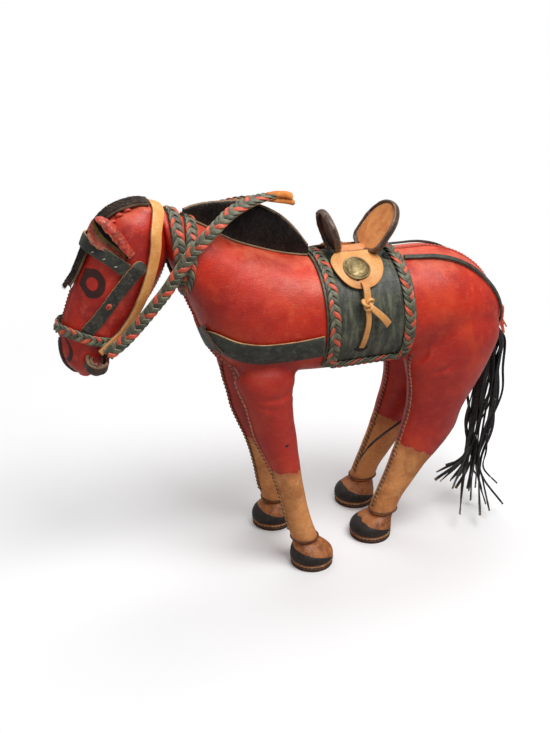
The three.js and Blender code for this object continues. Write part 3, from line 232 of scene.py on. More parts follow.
def travel_of(points, closed=False):
    if closed:
        return unit(np.roll(points, -1, axis=0) - np.roll(points, 1, axis=0))
    return unit(np.gradient(points, axis=0))


def form_ribbon(form, places, width, lift, spacing=1.0, closed=False, columns=5):
    """A ribbon on a form along places (s, t). lift is a height or a function of the share run."""
    places = np.asarray(places, float)
    lift_at = lift if callable(lift) else (lambda share: lift + 0 * share)
    share = np.linspace(0, 1, 60 * min(len(places), 12))
    if closed:
        wrap = np.vstack([places, places[:1]])
        if abs(abs(wrap[-1, 1] - wrap[-2, 1]) - 2 * PI) < .6:
            wrap[-1, 1] += 2 * PI * np.sign(wrap[-2, 1] - wrap[-1, 1])
        place = share * (len(wrap) - 1)
        st = np.stack([np.interp(place, np.arange(len(wrap)), wrap[:, k]) for k in (0, 1)], -1)
    else:
        st = smooth(places, share)
    run = lengths(form.at(st[:, 0], st[:, 1], lift_at(share)))
    n = max(int(run[-1] / spacing), 4)
    want = np.interp(np.linspace(0, run[-1], n + 1), run, share)
    st = np.stack([np.interp(want, share, st[:, k]) for k in (0, 1)], -1)
    heights = lift_at(want)
    if closed:
        st, heights = st[:-1], heights[:-1]
    travel = travel_of(form.at(st[:, 0], st[:, 1]), closed)
    across = np.linspace(-width / 2, width / 2, columns)
    points, normals = [], []
    for v in across:
        s, t = form.sidestep(st[:, 0], st[:, 1], travel, np.full(len(st), v))
        points.append(form.at(s, t, heights))
        normals.append(form.frame(s, t)[3])
    return Ribbon(np.stack(points, 1), np.stack(normals, 1), across, closed)


def open_ribbon(marks, width, spacing=1.0, taper=None):
    """A ribbon in the open along points, its face turned by the directions given with them."""
    at = np.array([m[0] for m in marks], float)
    face = unit([m[1] for m in marks])
    share = np.linspace(0, 1, 40 * len(marks))
    line = smooth(at, share)
    run = lengths(line)
    want = np.interp(np.linspace(0, run[-1], max(int(run[-1] / spacing), 4) + 1), run, share)
    line, facing = smooth(at, want), smooth(face, want)
    travel = travel_of(line)
    facing = unit(facing - travel * np.sum(facing * travel, -1)[:, None])
    side = unit(np.cross(travel, facing))
    across = np.linspace(-width / 2, width / 2, 3)
    scale = np.ones(len(want)) if taper is None else taper(want)
    points = line[:, None] + side[:, None] * across[None, :, None] * scale[:, None, None]
    return Ribbon(points, np.repeat(facing[:, None], 3, 1), across)


def mesh_ribbon(tree, line, width, lift, columns=3, spacing=1.0, soften=3):
    """A ribbon on a mesh: the line drops onto the nearest skin."""
    line = evenly(line, spacing)

    def drop(points):
        found = [tree.find_nearest(Vector(p)) for p in points]
        return np.array([f[0] for f in found]), np.array([f[1] for f in found])
    centre, normal = drop(line)
    for _ in range(soften):
        centre[1:-1] = (centre[:-2] + 2 * centre[1:-1] + centre[2:]) / 4
        normal[1:-1] = (normal[:-2] + 2 * normal[1:-1] + normal[2:]) / 4
    normal = unit(normal)
    side = unit(np.cross(travel_of(centre), normal)) * -1
    across = np.linspace(-width / 2, width / 2, columns)
    points, normals = [], []
    for v in across:
        at, n = (centre, normal) if v == 0 else drop(centre + side * v)
        for _ in range(soften):
            n[1:-1] = (n[:-2] + 2 * n[1:-1] + n[2:]) / 4
            at[1:-1] = (at[:-2] + 2 * at[1:-1] + at[2:]) / 4
        points.append(at + unit(n) * lift)
        normals.append(unit(n))
    return Ribbon(np.stack(points, 1), np.stack(normals, 1), across)


class Piece:
    """Collects the faces of one piece."""

    def __init__(self, name):
        self.name, self.co, self.faces, self.mats, self.uv, self.count = name, [], [], [], [], 0

    def add(self, co, faces, mat=0, uv=None):
        co = np.asarray(co, float).reshape(-1, 3)
        faces = np.asarray(faces, int)
        self.co.append(co)
        self.faces.append(faces + self.count)
        self.mats.append(np.broadcast_to(np.asarray(mat, int), len(faces)))
        self.uv.append(np.zeros((len(co), 2)) if uv is None else np.asarray(uv, float).reshape(-1, 2))
        self.count += len(co)
        return self

    def grid(self, points, mat=0, ring=False, loop=False, caps=False, uv=None, cap_mat=None):
        """A sheet of quads. ring closes the columns, loop the rows, caps shuts the ends of a ring."""
        n, k = points.shape[:2]
        rows, cols = np.arange(n if loop else n - 1), np.arange(k if ring else k - 1)
        i, j = np.meshgrid(rows, cols, indexing="ij")
        a, b = i * k + j, ((i + 1) % n) * k + j
        c, d = ((i + 1) % n) * k + (j + 1) % k, i * k + (j + 1) % k
        quads = np.stack([a, b, c, d], -1).reshape(-1, 4)
        mats = np.broadcast_to(np.asarray(mat, int), (len(rows), len(cols))).reshape(-1)
        start = self.count
        self.add(points, quads, mats, uv)
        if caps:
            own = mats[0] if cap_mat is None else cap_mat
            for row in (0, n - 1):
                ids = start + row * k + np.arange(k)
                middle = points[row].mean(0)
                at = self.count
                fan = np.stack([ids, np.roll(ids, -1), np.full(k, at)], -1)
                self.add([middle], (fan if row else fan[:, ::-1]) - self.count, own,
                         None if uv is None else [np.asarray(uv, float).reshape(n, k, 2)[row].mean(0)])
        return self

    def build(self, materials, body="horse", slot=None, replaces=(), recalc=True):
        mesh = bpy.data.meshes.new(self.name)
        co = (np.concatenate(self.co) + OFFSET) * MM
        faces = [f for block in self.faces for f in block.tolist()]
        mesh.from_pydata(co.tolist(), [], faces)
        mesh.polygons.foreach_set("material_index", np.concatenate(self.mats).astype(np.int32))
        mesh.polygons.foreach_set("use_smooth", np.ones(len(mesh.polygons), bool))
        if recalc:
            bm = bmesh.new()
            bm.from_mesh(mesh)
            bmesh.ops.recalc_face_normals(bm, faces=bm.faces)
            bm.to_mesh(mesh)
            bm.free()
        uv = np.concatenate(self.uv)
        corner = np.empty(len(mesh.loops), np.int32)
        mesh.loops.foreach_get("vertex_index", corner)
        mesh.uv_layers.new(name="run").data.foreach_set("uv", uv[corner].astype(np.float32).ravel())
        return place(mesh, materials, body, slot, replaces)


def place(mesh, materials, body="horse", slot=None, replaces=()):
    for m in materials:
        mesh.materials.append(m)
    obj = bpy.data.objects.new(mesh.name, mesh)
    bpy.context.scene.collection.objects.link(obj)
    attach(obj, body)
    if replaces:
        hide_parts(*replaces)
    return obj


def section(width, thick, edge=.35, crown=.0, steps=6):
    """A strap's section: across and height of each point, and which faces are cut edge."""
    w, e = width / 2, min(edge, thick / 2.2)
    v = np.linspace(-w + e, w - e, steps)
    top = thick + crown * (1 - (v / w) ** 2)
    right = [(w - e * .3, thick - e * .3), (w, thick - e), (w, e), (w - e * .3, e * .3)]
    left = [(-x, y) for x, y in right[::-1]]
    points = [*zip(v, top), *right, *zip(v[::-1], 0 * v), *left]
    flags = [0] * (steps - 1) + [0, 1, 1, 1, 0] + [0] * (steps - 1) + [0, 1, 1, 1, 0]
    return np.array(points), np.array(flags)


def strap(piece, ribbon, width, thick, lift=0.0, edge=.35, crown=.0, mats=(0, 1), ends=(0, None), taper=None,
          spacing=1.0, wave=0.0):
    """A flat strap with rounded cut edges along a ribbon."""
    points, flags = section(width, thick, edge, crown)
    start, stop = ends[0], ribbon.length if ends[1] is None else ends[1]
    if ribbon.closed:
        u = np.linspace(0, ribbon.length, int(ribbon.length / spacing) + 1)[:-1]
        scale, high = np.ones(len(u)), np.ones(len(u))
    else:
        n = max(int((stop - start) / spacing), 3)
        u = np.concatenate([[start, start + .2], np.linspace(start, stop, n + 1)[1:-1], [stop - .2, stop]])
        scale = np.ones(len(u)) if taper is None else taper((u - start) / (stop - start))
        scale[[0, -1]] *= .97
        high = np.ones(len(u))
        high[[0, -1]] = .75
    low = (1 - high) * thick / 2
    ripple = wave * np.sin(u * .9 + 1.3) * np.sin(u * .37)
    v = points[None, :, 0] * scale[:, None] + ripple[:, None]
    h = lift + low[:, None] + points[None, :, 1] * high[:, None]
    p = ribbon.at(u[:, None], v, h)
    mat = np.where(flags == 1, mats[1], mats[0])
    uv = np.stack(np.broadcast_arrays(u[:, None], v), -1) * MM
    piece.grid(p, mat, ring=True, loop=ribbon.closed, caps=not ribbon.closed, uv=uv, cap_mat=mats[1])
    return piece


def runs(piece, ribbon, path, wide, tall, mat=0, sides=8, power=1.0):
    """Tubes in a ribbon's space. path is (count, n, 3) of u v h; wide and tall are half sizes."""
    path = np.asarray(path, float)
    wide, tall = (np.broadcast_to(np.asarray(x, float), path.shape[:2]) for x in (wide, tall))
    step = np.gradient(path[..., :2], axis=1)
    step = step / np.maximum(np.linalg.norm(step, axis=-1, keepdims=True), 1e-9)
    cross = np.stack([-step[..., 1], step[..., 0]], -1)
    turn = 2 * PI * (np.arange(sides) + .5) / sides
    c, s = (np.sign(f) * np.abs(f) ** power for f in (np.cos(turn), np.sin(turn)))
    u = path[..., 0, None] + cross[..., 0, None] * wide[..., None] * c
    v = path[..., 1, None] + cross[..., 1, None] * wide[..., None] * c
    h = path[..., 2, None] + tall[..., None] * s
    p = ribbon.at(u, v, h)
    for k in range(len(path)):
        own = mat[k] if np.ndim(mat) else mat
        uv = np.stack([u[k], v[k]], -1) * MM
        piece.grid(p[k], own, ring=True, caps=True, uv=uv)
    return piece


def braid(piece, ribbon, width, lift=0.0, period=16.0, mats=(0, 1, 2, 1), ends=(0, None), thick=BRAID):
    """Four flat strands plaited so that they show two columns of slanted segments."""
    start, stop = ends[0], ribbon.length if ends[1] is None else ends[1]
    if ribbon.closed:
        period = ribbon.length / max(round(ribbon.length / period), 1)
    strand = width * .205
    reach = width / 2 - strand * .55
    n = max(int((stop - start) / period * 22), 8)
    u = np.linspace(start, stop + (.5 if ribbon.closed else 0), n)
    for k in range(4):
        turn = 2 * PI * (u / period + k / 4)
        y = reach * np.sin(turn)
        z = thick * .26 * (np.sin(2 * turn) + .35 * np.cos(turn)) + thick * .5 + lift
        half = strand * (1 - .42 * np.sin(turn) ** 2)
        path = np.stack([u, y, z], -1)[None]
        runs(piece, ribbon, path, half[None], thick * .21, mats[k], sides=8, power=.8)
    return piece


def stitches(piece, ribbon, us, v, length, rise, radius, lift=0.0, mat=0, slant=0.0):
    """A row of thread stitches at the places us."""
    us = np.asarray(us, float)
    k = np.linspace(-.5, .5, 5)
    v = np.broadcast_to(np.asarray(v, float), us.shape)
    angle = slant + .12 * np.sin(us * 3.7)
    u = us[:, None] + k[None] * length * np.cos(angle)[:, None]
    w = v[:, None] + k[None] * length * np.sin(angle)[:, None]
    h = lift + rise * (1 - (2 * k) ** 2)[None] + 0 * u
    size = radius * np.sqrt(1 - (1.75 * k) ** 2 * .9).clip(.35)
    return runs(piece, ribbon, np.stack([u, w, h], -1), size[None] + 0 * u, size[None] * .8 + 0 * u, mat,
                sides=6)


def tube(piece, line, radius, sides=10, mat=0, loop=False, squash=1.0, face=None):
    """A round tube in the open along points."""
    line = np.asarray(line, float)
    travel = travel_of(line, loop)
    ref = np.asarray([0, 0, 1.0] if face is None else face, float)
    side = unit(np.cross(travel, ref + 0 * travel))
    up = unit(np.cross(side, travel))
    turn = 2 * PI * np.arange(sides) / sides
    r = np.broadcast_to(np.asarray(radius, float), len(line))[:, None, None]
    p = line[:, None] + r * (side[:, None] * np.cos(turn)[None, :, None]
                             + squash * up[:, None] * np.sin(turn)[None, :, None])
    run = lengths(line)
    uv = np.stack(np.broadcast_arrays(run[:, None], turn[None]), -1) * MM
    return piece.grid(p, mat, ring=True, loop=loop, caps=not loop, uv=uv)


# Materials
def rgb(r, g, b):
    c = np.array([r, g, b]) / 255
    return (*np.where(c <= .04045, c / 12.92, ((c + .055) / 1.055) ** 2.4), 1)


class Shader:
    """A small writer of node materials. Noise sizes are in mm."""

    def __init__(self, name):
        self.mat = bpy.data.materials.new(name)
        self.mat.use_nodes = True
        self.tree = self.mat.node_tree
        self.tree.nodes.clear()
        out = self.node("ShaderNodeOutputMaterial")
        self.bsdf = self.node("ShaderNodeBsdfPrincipled")
        self.link(self.bsdf.outputs[0], out.inputs[0])
        self.coords = self.node("ShaderNodeTexCoord")
        self.place = self.coords.outputs["Object"]

    def node(self, kind, **props):
        n = self.tree.nodes.new(kind)
        for key, value in props.items():
            setattr(n, key, value)
        return n

    def link(self, a, b):
        self.tree.links.new(a, b)

    def put(self, socket, value):
        if isinstance(value, bpy.types.NodeSocket):
            self.link(value, socket)
        else:
            socket.default_value = value

    def scaled(self, size, source=None):
        m = self.node("ShaderNodeMapping")
        self.link(source or self.place, m.inputs["Vector"])
        size = np.broadcast_to(np.asarray(size, float), 3)
        m.inputs["Scale"].default_value = tuple(1 / (size * MM))
        return m.outputs[0]

    def noise(self, size, detail=3.0, rough=.55, distort=0.0, source=None):
        n = self.node("ShaderNodeTexNoise")
        self.link(self.scaled(size, source), n.inputs["Vector"])
        n.inputs["Scale"].default_value = 1
        n.inputs["Detail"].default_value = detail
        n.inputs["Roughness"].default_value = rough
        n.inputs["Distortion"].default_value = distort
        return n.outputs["Fac"]

    def cells(self, size):
        n = self.node("ShaderNodeTexVoronoi", feature="F1")
        self.link(self.scaled(size), n.inputs["Vector"])
        n.inputs["Scale"].default_value = 1
        return n.outputs["Distance"]

    def math(self, op, a, b=0.0):
        n = self.node("ShaderNodeMath", operation=op)
        self.put(n.inputs[0], a)
        self.put(n.inputs[1], b)
        return n.outputs[0]

    def step(self, value, low, high, out=(0, 1)):
        n = self.node("ShaderNodeMapRange", interpolation_type="SMOOTHSTEP")
        self.put(n.inputs[0], value)
        n.inputs[1].default_value, n.inputs[2].default_value = low, high
        n.inputs[3].default_value, n.inputs[4].default_value = out
        return n.outputs[0]

    def mix(self, factor, a, b):
        n = self.node("ShaderNodeMix", data_type="RGBA", blend_type="MIX")
        self.put(n.inputs[0], factor)
        self.put(n.inputs[6], a)
        self.put(n.inputs[7], b)
        return n.outputs[2]

    def xyz(self):
        n = self.node("ShaderNodeSeparateXYZ")
        self.link(self.place, n.inputs[0])
        return n.outputs

    def uv(self):
        return self.coords.outputs["UV"]

    def pointy(self):
        return self.node("ShaderNodeNewGeometry").outputs["Pointiness"]

    def finish(self, colour, rough, height=None, distance=.1, **values):
        self.put(self.bsdf.inputs["Base Color"], colour)
        self.put(self.bsdf.inputs["Roughness"], rough)
        for key, value in values.items():
            self.put(self.bsdf.inputs[key.replace("_", " ")], value)
        if height is not None:
            b = self.node("ShaderNodeBump")
            b.inputs["Strength"].default_value = 1
            b.inputs["Distance"].default_value = distance * MM
            self.link(height, b.inputs["Height"])
            self.link(b.outputs[0], self.bsdf.inputs["Normal"])
        return self.mat


def leather(name, base, deep, pale, patch=26, mottle=6, grain=.75, rough=(.4, .62), bump=.1, scuff=.25,
            edge=.3, paint=None, sheen=None, streak=None, wrinkle=0.0, source=None, spec=.5,
            coat=0.0):
    """Hide with patches, mottling, pores, fine grain, wear, paler raised edges and painted shade in hollows.
    paint may add to the colour.
    """
    m = Shader(name)
    big = m.step(m.noise(patch, 3, .5, .3), .36, .66)
    colour = m.mix(big, rgb(*base), rgb(*deep))
    small = m.step(m.noise(mottle, 5, .62), .46, .74)
    colour = m.mix(m.math("MULTIPLY", small, .55), colour, rgb(*pale))
    fine = m.noise(grain * 1.6, 4, .6)
    colour = m.mix(m.math("MULTIPLY", m.step(fine, .55, .3), .22), colour, rgb(*[c * .62 for c in deep]))
    if streak:
        run = m.noise(streak, 4, .6, 0, source(m) if source else None)
        colour = m.mix(m.math("MULTIPLY", m.step(run, .44, .72), .8), colour, rgb(*pale))
        colour = m.mix(m.math("MULTIPLY", m.step(run, .46, .26), .55), colour, rgb(*[c * .5 for c in deep]))
    if scuff:
        wear_and_highlight = m.math("MULTIPLY", m.step(m.noise(2.6, 7, .72), .6, .72), scuff)
        colour = m.mix(wear_and_highlight, colour, rgb(*[min(255, c * 1.22 + 18) for c in pale]))
    if edge:
        # Raised edges are paler: rubbed wear, and with a high edge value, as on the saddle rims, a painted
        # highlight too.
        raised = m.math("MULTIPLY", m.step(m.pointy(), .515, .6), edge)
        colour = m.mix(raised, colour, rgb(*[min(255, c * 1.18 + 16) for c in pale]))
        # Painted shade: darker in hollows and creases, by pointiness.
        hollow_shade = m.math("MULTIPLY", m.step(m.pointy(), .49, .42), .45)
        colour = m.mix(hollow_shade, colour, rgb(*[c * .45 for c in deep]))
    pores = m.cells(grain)
    height = m.math("ADD", m.math("MULTIPLY", pores, .5), m.math("MULTIPLY", fine, .9))
    if wrinkle:
        lines = m.step(m.math("ABSOLUTE", m.math("SUBTRACT", m.noise((7, 7, 2.2), 3, .5, .8), .5)), .0, .03)
        height = m.math("ADD", height, m.math("MULTIPLY", lines, wrinkle))
    if paint:
        colour = paint(m, colour)
    shine = m.step(m.noise(mottle * 1.7, 4, .6), .3, .7, rough)
    values = {"Specular_IOR_Level": spec}
    if coat:
        values.update(Coat_Weight=coat, Coat_Roughness=.3)
    if sheen:
        values.update(Sheen_Weight=sheen, Sheen_Roughness=.45, Sheen_Tint=(1, .85, .7, 1))
    return m.finish(colour, shine, height, bump, **values)


def oval(m, at, size, tilt=0.0):
    """How far a point is from the middle of an oval seen from the side, 1 on its edge."""
    x, _y, z = m.xyz()[0], m.xyz()[1], m.xyz()[2]
    dx = m.math("SUBTRACT", x, (at[0] + OFFSET[0]) * MM)
    dz = m.math("SUBTRACT", z, at[1] * MM)
    c, s = np.cos(np.radians(tilt)), np.sin(np.radians(tilt))
    along = m.math("ADD", m.math("MULTIPLY", dx, c), m.math("MULTIPLY", dz, s))
    across = m.math("SUBTRACT", m.math("MULTIPLY", dz, c), m.math("MULTIPLY", dx, s))
    wobble = m.math("MULTIPLY", m.math("SUBTRACT", m.noise(3.5, 3), .5), .18)
    a = m.math("POWER", m.math("ABSOLUTE", m.math("DIVIDE", along, size[0] * MM)), 2)
    b = m.math("POWER", m.math("ABSOLUTE", m.math("DIVIDE", across, size[1] * MM)), 2)
    return m.math("ADD", m.math("SQRT", m.math("ADD", a, b)), wobble)


INK = (30, 25, 24)


def painted_top_highlight(m, colour):
    """Painted highlight: the colour turns pale pink in patches where the skin faces up."""
    facing = m.node("ShaderNodeSeparateXYZ")
    m.link(m.node("ShaderNodeNewGeometry").outputs["Normal"], facing.inputs[0])
    wear_and_highlight = m.math("MULTIPLY", m.step(facing.outputs[2], .5, .95), m.step(m.noise(22, 4, .6, .5), .3, .66))
    # Pale pink of the painted highlight.
    return m.mix(m.math("MULTIPLY", wear_and_highlight, .55), colour, rgb(246, 136, 102))


def face_paint(m, colour):
    """A painted highlight where the head faces up, then the painted ring round each eye and the nostril
    stroke.
    """
    # Painted highlight on the top of the head.
    colour = painted_top_highlight(m, colour)
    ring = oval(m, (-110.5, 196.6), (6.5, 8.4), -10)
    inner = oval(m, (-110.9, 196.4), (2.8, 3.6), -10)
    mark = m.math("MULTIPLY", m.step(ring, 1.04, .94), m.step(inner, .9, 1.12))
    outer = oval(m, (-129.2, 156.6), (4.9, 8.8), 6)
    hollow = oval(m, (-130.9, 157.9), (4.9, 8.6), 6)
    stroke = m.math("MULTIPLY", m.step(outer, 1.03, .95), m.step(hollow, .94, 1.02))
    aside = m.math("ABSOLUTE", m.math("SUBTRACT", m.xyz()[1], OFFSET[1] * MM))
    mark = m.math("MULTIPLY", mark, m.step(aside, .005, .0064))
    stroke = m.math("MULTIPLY", stroke, m.step(aside, .0042, .0058))
    wear_and_highlight = m.step(m.noise(1.6, 6, .7), .78, .6)
    mask = m.math("MULTIPLY", m.math("MAXIMUM", mark, stroke), wear_and_highlight)
    return m.mix(m.math("MULTIPLY", mask, .93), colour, rgb(*INK))


def body_shade_and_tone(m, colour):
    """Painted shade: darker crimson towards the bottom of the belly and legs and over the front of the chest;
    random orange patches; the painted top highlight; a small dark mark on the near front leg.
    """
    # Painted shade, darker towards the bottom.
    low = m.step(m.xyz()[2], .175, .118)
    colour = m.mix(m.math("MULTIPLY", low, .5), colour, rgb(158, 40, 38))
    # Painted shade over the front of the chest and shoulder.
    chest = m.math("MULTIPLY", m.step(m.xyz()[0], .005, -.055), m.step(m.xyz()[2], .205, .165))
    colour = m.mix(m.math("MULTIPLY", chest, .45), colour, rgb(140, 32, 26))
    patch = m.step(m.noise(38, 3, .5, .4), .5, .68)
    colour = m.mix(m.math("MULTIPLY", patch, .35), colour, rgb(234, 86, 44))
    # Painted highlight on upward-facing skin.
    colour = painted_top_highlight(m, colour)
    nick = m.math("MULTIPLY", m.step(oval(m, (-4.7, 87.6), (1.2, .9)), 1.2, .8), m.step(m.xyz()[1], 0, -.01))
    return m.mix(nick, colour, rgb(*INK))


def sock_tone(m, colour):
    """The red dye ends in an uneven line on the tan leather."""
    split = m.node("ShaderNodeSeparateXYZ")
    m.link(m.uv(), split.inputs[0])
    edge = m.math("ADD", split.outputs[1],
                  m.math("MULTIPLY", m.math("SUBTRACT", m.noise(4.5, 5, .62), .5), .0065))
    colour = m.mix(m.math("MULTIPLY", m.step(edge, .0085, .001), .45), colour, rgb(168, 84, 48))
    return m.mix(m.step(edge, .0019, .0004), colour, rgb(176, 48, 36))


red = leather("red_hide", (218, 50, 20), (184, 32, 16), (236, 84, 48), rough=(.33, .5), paint=body_shade_and_tone,
              coat=.16, spec=.36,
              wrinkle=.35, bump=.13, scuff=.16, edge=.25)
head_red = leather("head_hide", (208, 47, 26), (164, 32, 25), (232, 94, 70), patch=18, rough=(.33, .5),
                   coat=.16, spec=.36,
                   paint=face_paint, wrinkle=.3, bump=.12, scuff=.22, edge=.25)
seam_lip = leather("seam_lip", (188, 86, 68), (140, 46, 38), (224, 146, 120), patch=6, mottle=2, scuff=.4,
                   edge=.5)
seam_red = leather("seam_hide", (158, 38, 32), (120, 24, 22), (196, 72, 56), patch=6, mottle=2, scuff=.3,
                   edge=.5)
tan = leather("sock_hide", (226, 150, 86), (194, 120, 64), (240, 180, 122), patch=14, mottle=4,
              rough=(.45, .66),
              scuff=.3, wrinkle=.3, paint=sock_tone)
natural = leather("natural_hide", (232, 164, 92), (212, 136, 66), (244, 190, 124), patch=18, mottle=5,
                  rough=(.42, .6), bump=.07, scuff=.2, edge=.2)
strap_tan = leather("strap_hide", (250, 182, 102), (228, 150, 76), (254, 206, 140), patch=20, mottle=4,
                    rough=(.4, .58), bump=.06, scuff=.18, edge=.2)
suede = leather("suede", (232, 146, 74), (200, 110, 46), (244, 172, 100), patch=9, mottle=2.6, grain=.4,
                rough=(.82, .95), bump=.16, scuff=.35, sheen=.3, edge=0, spec=.2)
dark = leather("dark_hide", (58, 60, 52), (38, 40, 36), (100, 100, 82), patch=12, mottle=3.2, rough=(.4, .6),
               scuff=.45, edge=.45)
blanket_hide = leather("blanket_hide", (62, 66, 56), (39, 43, 38), (114, 114, 92), patch=16, mottle=3,
                       rough=(.36, .55), scuff=.4, edge=.3, streak=(15, 3.6, 15),
                       source=lambda m: m.uv())
speckled = leather("speckled_hide", (62, 62, 54), (36, 36, 33), (120, 112, 90), patch=7, mottle=1.6, scuff=.8,
                   rough=(.5, .72), bump=.2, edge=.5)
cut_edge = leather("cut_edge", (206, 156, 108), (168, 116, 74), (226, 186, 142), patch=6, mottle=1.4,
                   grain=.35,
                   rough=(.7, .85), scuff=.3, edge=0)
seat_hide = leather("seat_hide", (224, 146, 88), (198, 120, 66), (238, 172, 118), patch=12, mottle=3,
                    rough=(.46, .64),
                    bump=.08, scuff=.25, edge=.2)
# Darker leather for the cut edges, also painted as a shadow line along the top of each flap.
flap_edge_and_shadow = leather("flap_edge_and_shadow", (176, 118, 66), (132, 84, 46), (208, 156, 104), patch=6, mottle=1.4,
                    grain=.35,
                    rough=(.6, .78), edge=0)
# Near-black painted shade, put in the lace slots, the slit inside each ear roll and the round hole mark on
# the blanket.
slot_shade = leather("slot_shade", (20, 15, 13), (11, 9, 8), (38, 28, 24), patch=4, mottle=1.2, rough=(.7, .85))
dark_edge = leather("dark_edge", (96, 76, 56), (58, 46, 36), (146, 118, 86), patch=5, mottle=1.4, grain=.4,
                    rough=(.6, .8), scuff=.4, edge=.3)
# Rim leather: its strongly paler raised edges are partly wear and partly a painted highlight.
rim_hide = leather("rim_hide", (70, 49, 38), (44, 30, 23), (134, 104, 82), patch=9, mottle=2.6,
                   rough=(.24, .42),
                   scuff=.5, edge=.8)
panel_brown = leather("panel_hide", (84, 48, 30), (56, 31, 20), (118, 76, 50), patch=7, mottle=2,
                      rough=(.5, .7))
braid_red = leather("braid_red", (212, 66, 38), (168, 42, 30), (228, 110, 80), patch=5, mottle=1.5,
                    rough=(.38, .55), scuff=.3, edge=.5)
braid_olive = leather("braid_olive", (84, 83, 64), (48, 48, 38), (140, 138, 112), patch=5, mottle=1.5,
                      rough=(.38, .58), scuff=.35, edge=.5)
braid_dark = leather("braid_dark", (56, 60, 50), (36, 39, 33), (98, 100, 80), patch=5, mottle=1.5,
                     rough=(.36, .55), scuff=.3, edge=.5)
thread_dark = leather("thread_dark", (46, 30, 26), (30, 20, 18), (88, 60, 48), patch=3, mottle=1, grain=.3,
                      rough=(.6, .8), edge=.4)
thread_red = leather("thread_red", (176, 48, 36), (130, 30, 26), (210, 92, 66), patch=3, mottle=1, grain=.3,
                     rough=(.5, .7), edge=.5)
thread_pale = leather("thread_pale", (214, 190, 160), (176, 148, 116), (236, 220, 196), patch=3, mottle=1,
                      grain=.3, rough=(.6, .8), edge=.2)
ear_lip = leather("ear_lip", (192, 60, 44), (140, 34, 28), (236, 146, 100), patch=4.5, mottle=1.3, scuff=.65,
                  rough=(.38, .55), bump=.2, edge=.6)
pink_flesh = leather("pink_flesh", (190, 108, 84), (140, 60, 48), (224, 156, 120), patch=5, mottle=1.6,
                     rough=(.6, .8), edge=.2)
olive_flesh = leather("olive_flesh", (150, 122, 70), (104, 84, 50), (190, 160, 104), patch=5, mottle=1.6,
                      rough=(.7, .88), edge=.2)
tail_hide = leather("tail_hide", (22, 20, 20), (12, 11, 12), (50, 46, 44), patch=12, mottle=2,
                    rough=(.36, .55),
                    scuff=.25, edge=.5)
tail_cut = leather("tail_cut", (110, 92, 78), (70, 58, 50), (150, 130, 110), patch=4, mottle=1,
                   rough=(.7, .85))
sole_hide = leather("sole_hide", (62, 36, 24), (40, 22, 15), (104, 66, 44), patch=6, mottle=1.8,
                    rough=(.5, .7), scuff=.4, edge=.5)
hoof_tan = leather("hoof_hide", (176, 106, 54), (132, 70, 34), (204, 138, 80), patch=8, mottle=2.4,
                   rough=(.42, .6), scuff=.35, edge=.3)
hide_edge = leather("hide_edge", (124, 96, 70), (84, 62, 46), (166, 134, 100), patch=6, mottle=1.5,
                    rough=(.7, .88), edge=.3)
ink_hide = leather("ink_hide", (40, 32, 28), (26, 21, 19), (74, 62, 54), patch=6, mottle=2, rough=(.45, .62),
                   scuff=.35, edge=.5)


# The stuffed body and legs: one skin, smoothed where the legs join
def form_rings(form, s, sides, lift=0.0, round_ends=(0, 0)):
    """Rings of a form, with rounded ends of the given depths."""
    turn = 2 * PI * np.arange(sides) / sides
    rings = form.at(np.asarray(s)[:, None], turn[None], lift)
    first, last = [], []
    for depth, ring, inner, store in ((round_ends[0], rings[0], rings[2], first),
                                      (round_ends[1], rings[-1], rings[-3], last)):
        if depth:
            middle = ring.mean(0)
            out = unit(middle - inner.mean(0))
            for a in np.radians([25, 45, 62, 77]):
                store.append(middle + (ring - middle) * np.cos(a) + out * depth * np.sin(a))
    return np.array(first[::-1] + list(rings) + last)


def mesh_arrays(mesh):
    co = np.empty(len(mesh.vertices) * 3)
    mesh.vertices.foreach_get("co", co)
    edges = np.empty(len(mesh.edges) * 2, np.int32)
    mesh.edges.foreach_get("vertices", edges)
    faces = [tuple(p.vertices) for p in mesh.polygons]
    return co.reshape(-1, 3) / MM, edges.reshape(-1, 2), faces


def voxel_skin(blocks, size):
    """One closed skin round several closed bodies."""
    raw = Piece("raw_skin")
    for points in blocks:
        raw.grid(points, ring=True, caps=True)
    mesh = bpy.data.meshes.new("raw_skin")
    mesh.from_pydata((np.concatenate(raw.co) * MM).tolist(), [], [f for b in raw.faces for f in b.tolist()])
    bm = bmesh.new()
    bm.from_mesh(mesh)
    bmesh.ops.recalc_face_normals(bm, faces=bm.faces)
    bm.to_mesh(mesh)
    bm.free()
    obj = bpy.data.objects.new("raw_skin", mesh)
    bpy.context.scene.collection.objects.link(obj)
    remesh = obj.modifiers.new("skin", "REMESH")
    remesh.mode, remesh.voxel_size, remesh.adaptivity = "VOXEL", size * MM, 0
    bpy.context.view_layer.update()
    out = bpy.data.meshes.new_from_object(obj.evaluated_get(bpy.context.evaluated_depsgraph_get()))
    arrays = mesh_arrays(out)
    bpy.data.objects.remove(obj)
    bpy.data.meshes.remove(mesh)
    bpy.data.meshes.remove(out)
    return arrays


def relax(co, edges, weight, rounds):
    a, b = edges[:, 0], edges[:, 1]
    count = np.bincount(edges.ravel(), minlength=len(co))[:, None]
    for _ in range(rounds):
        total = np.stack([np.bincount(a, co[b, k], len(co))
                          + np.bincount(b, co[a, k], len(co)) for k in range(3)], -1)
        co = co + np.asarray(weight)[:, None] * (total / count - co)
    return co


def point_normals(co, faces):
    f = np.array([q if len(q) == 4 else (*q, q[-1]) for q in faces])
    n = np.cross(co[f[:, 2]] - co[f[:, 0]], co[f[:, 3]] - co[f[:, 1]])
    out = np.zeros_like(co)
    for k in range(4):
        for axis in range(3):
            out[:, axis] += np.bincount(f[:, k], n[:, axis], len(co))
    return unit(out)


def tree_of(co, faces):
    return BVHTree.FromPolygons(co.tolist(), faces)


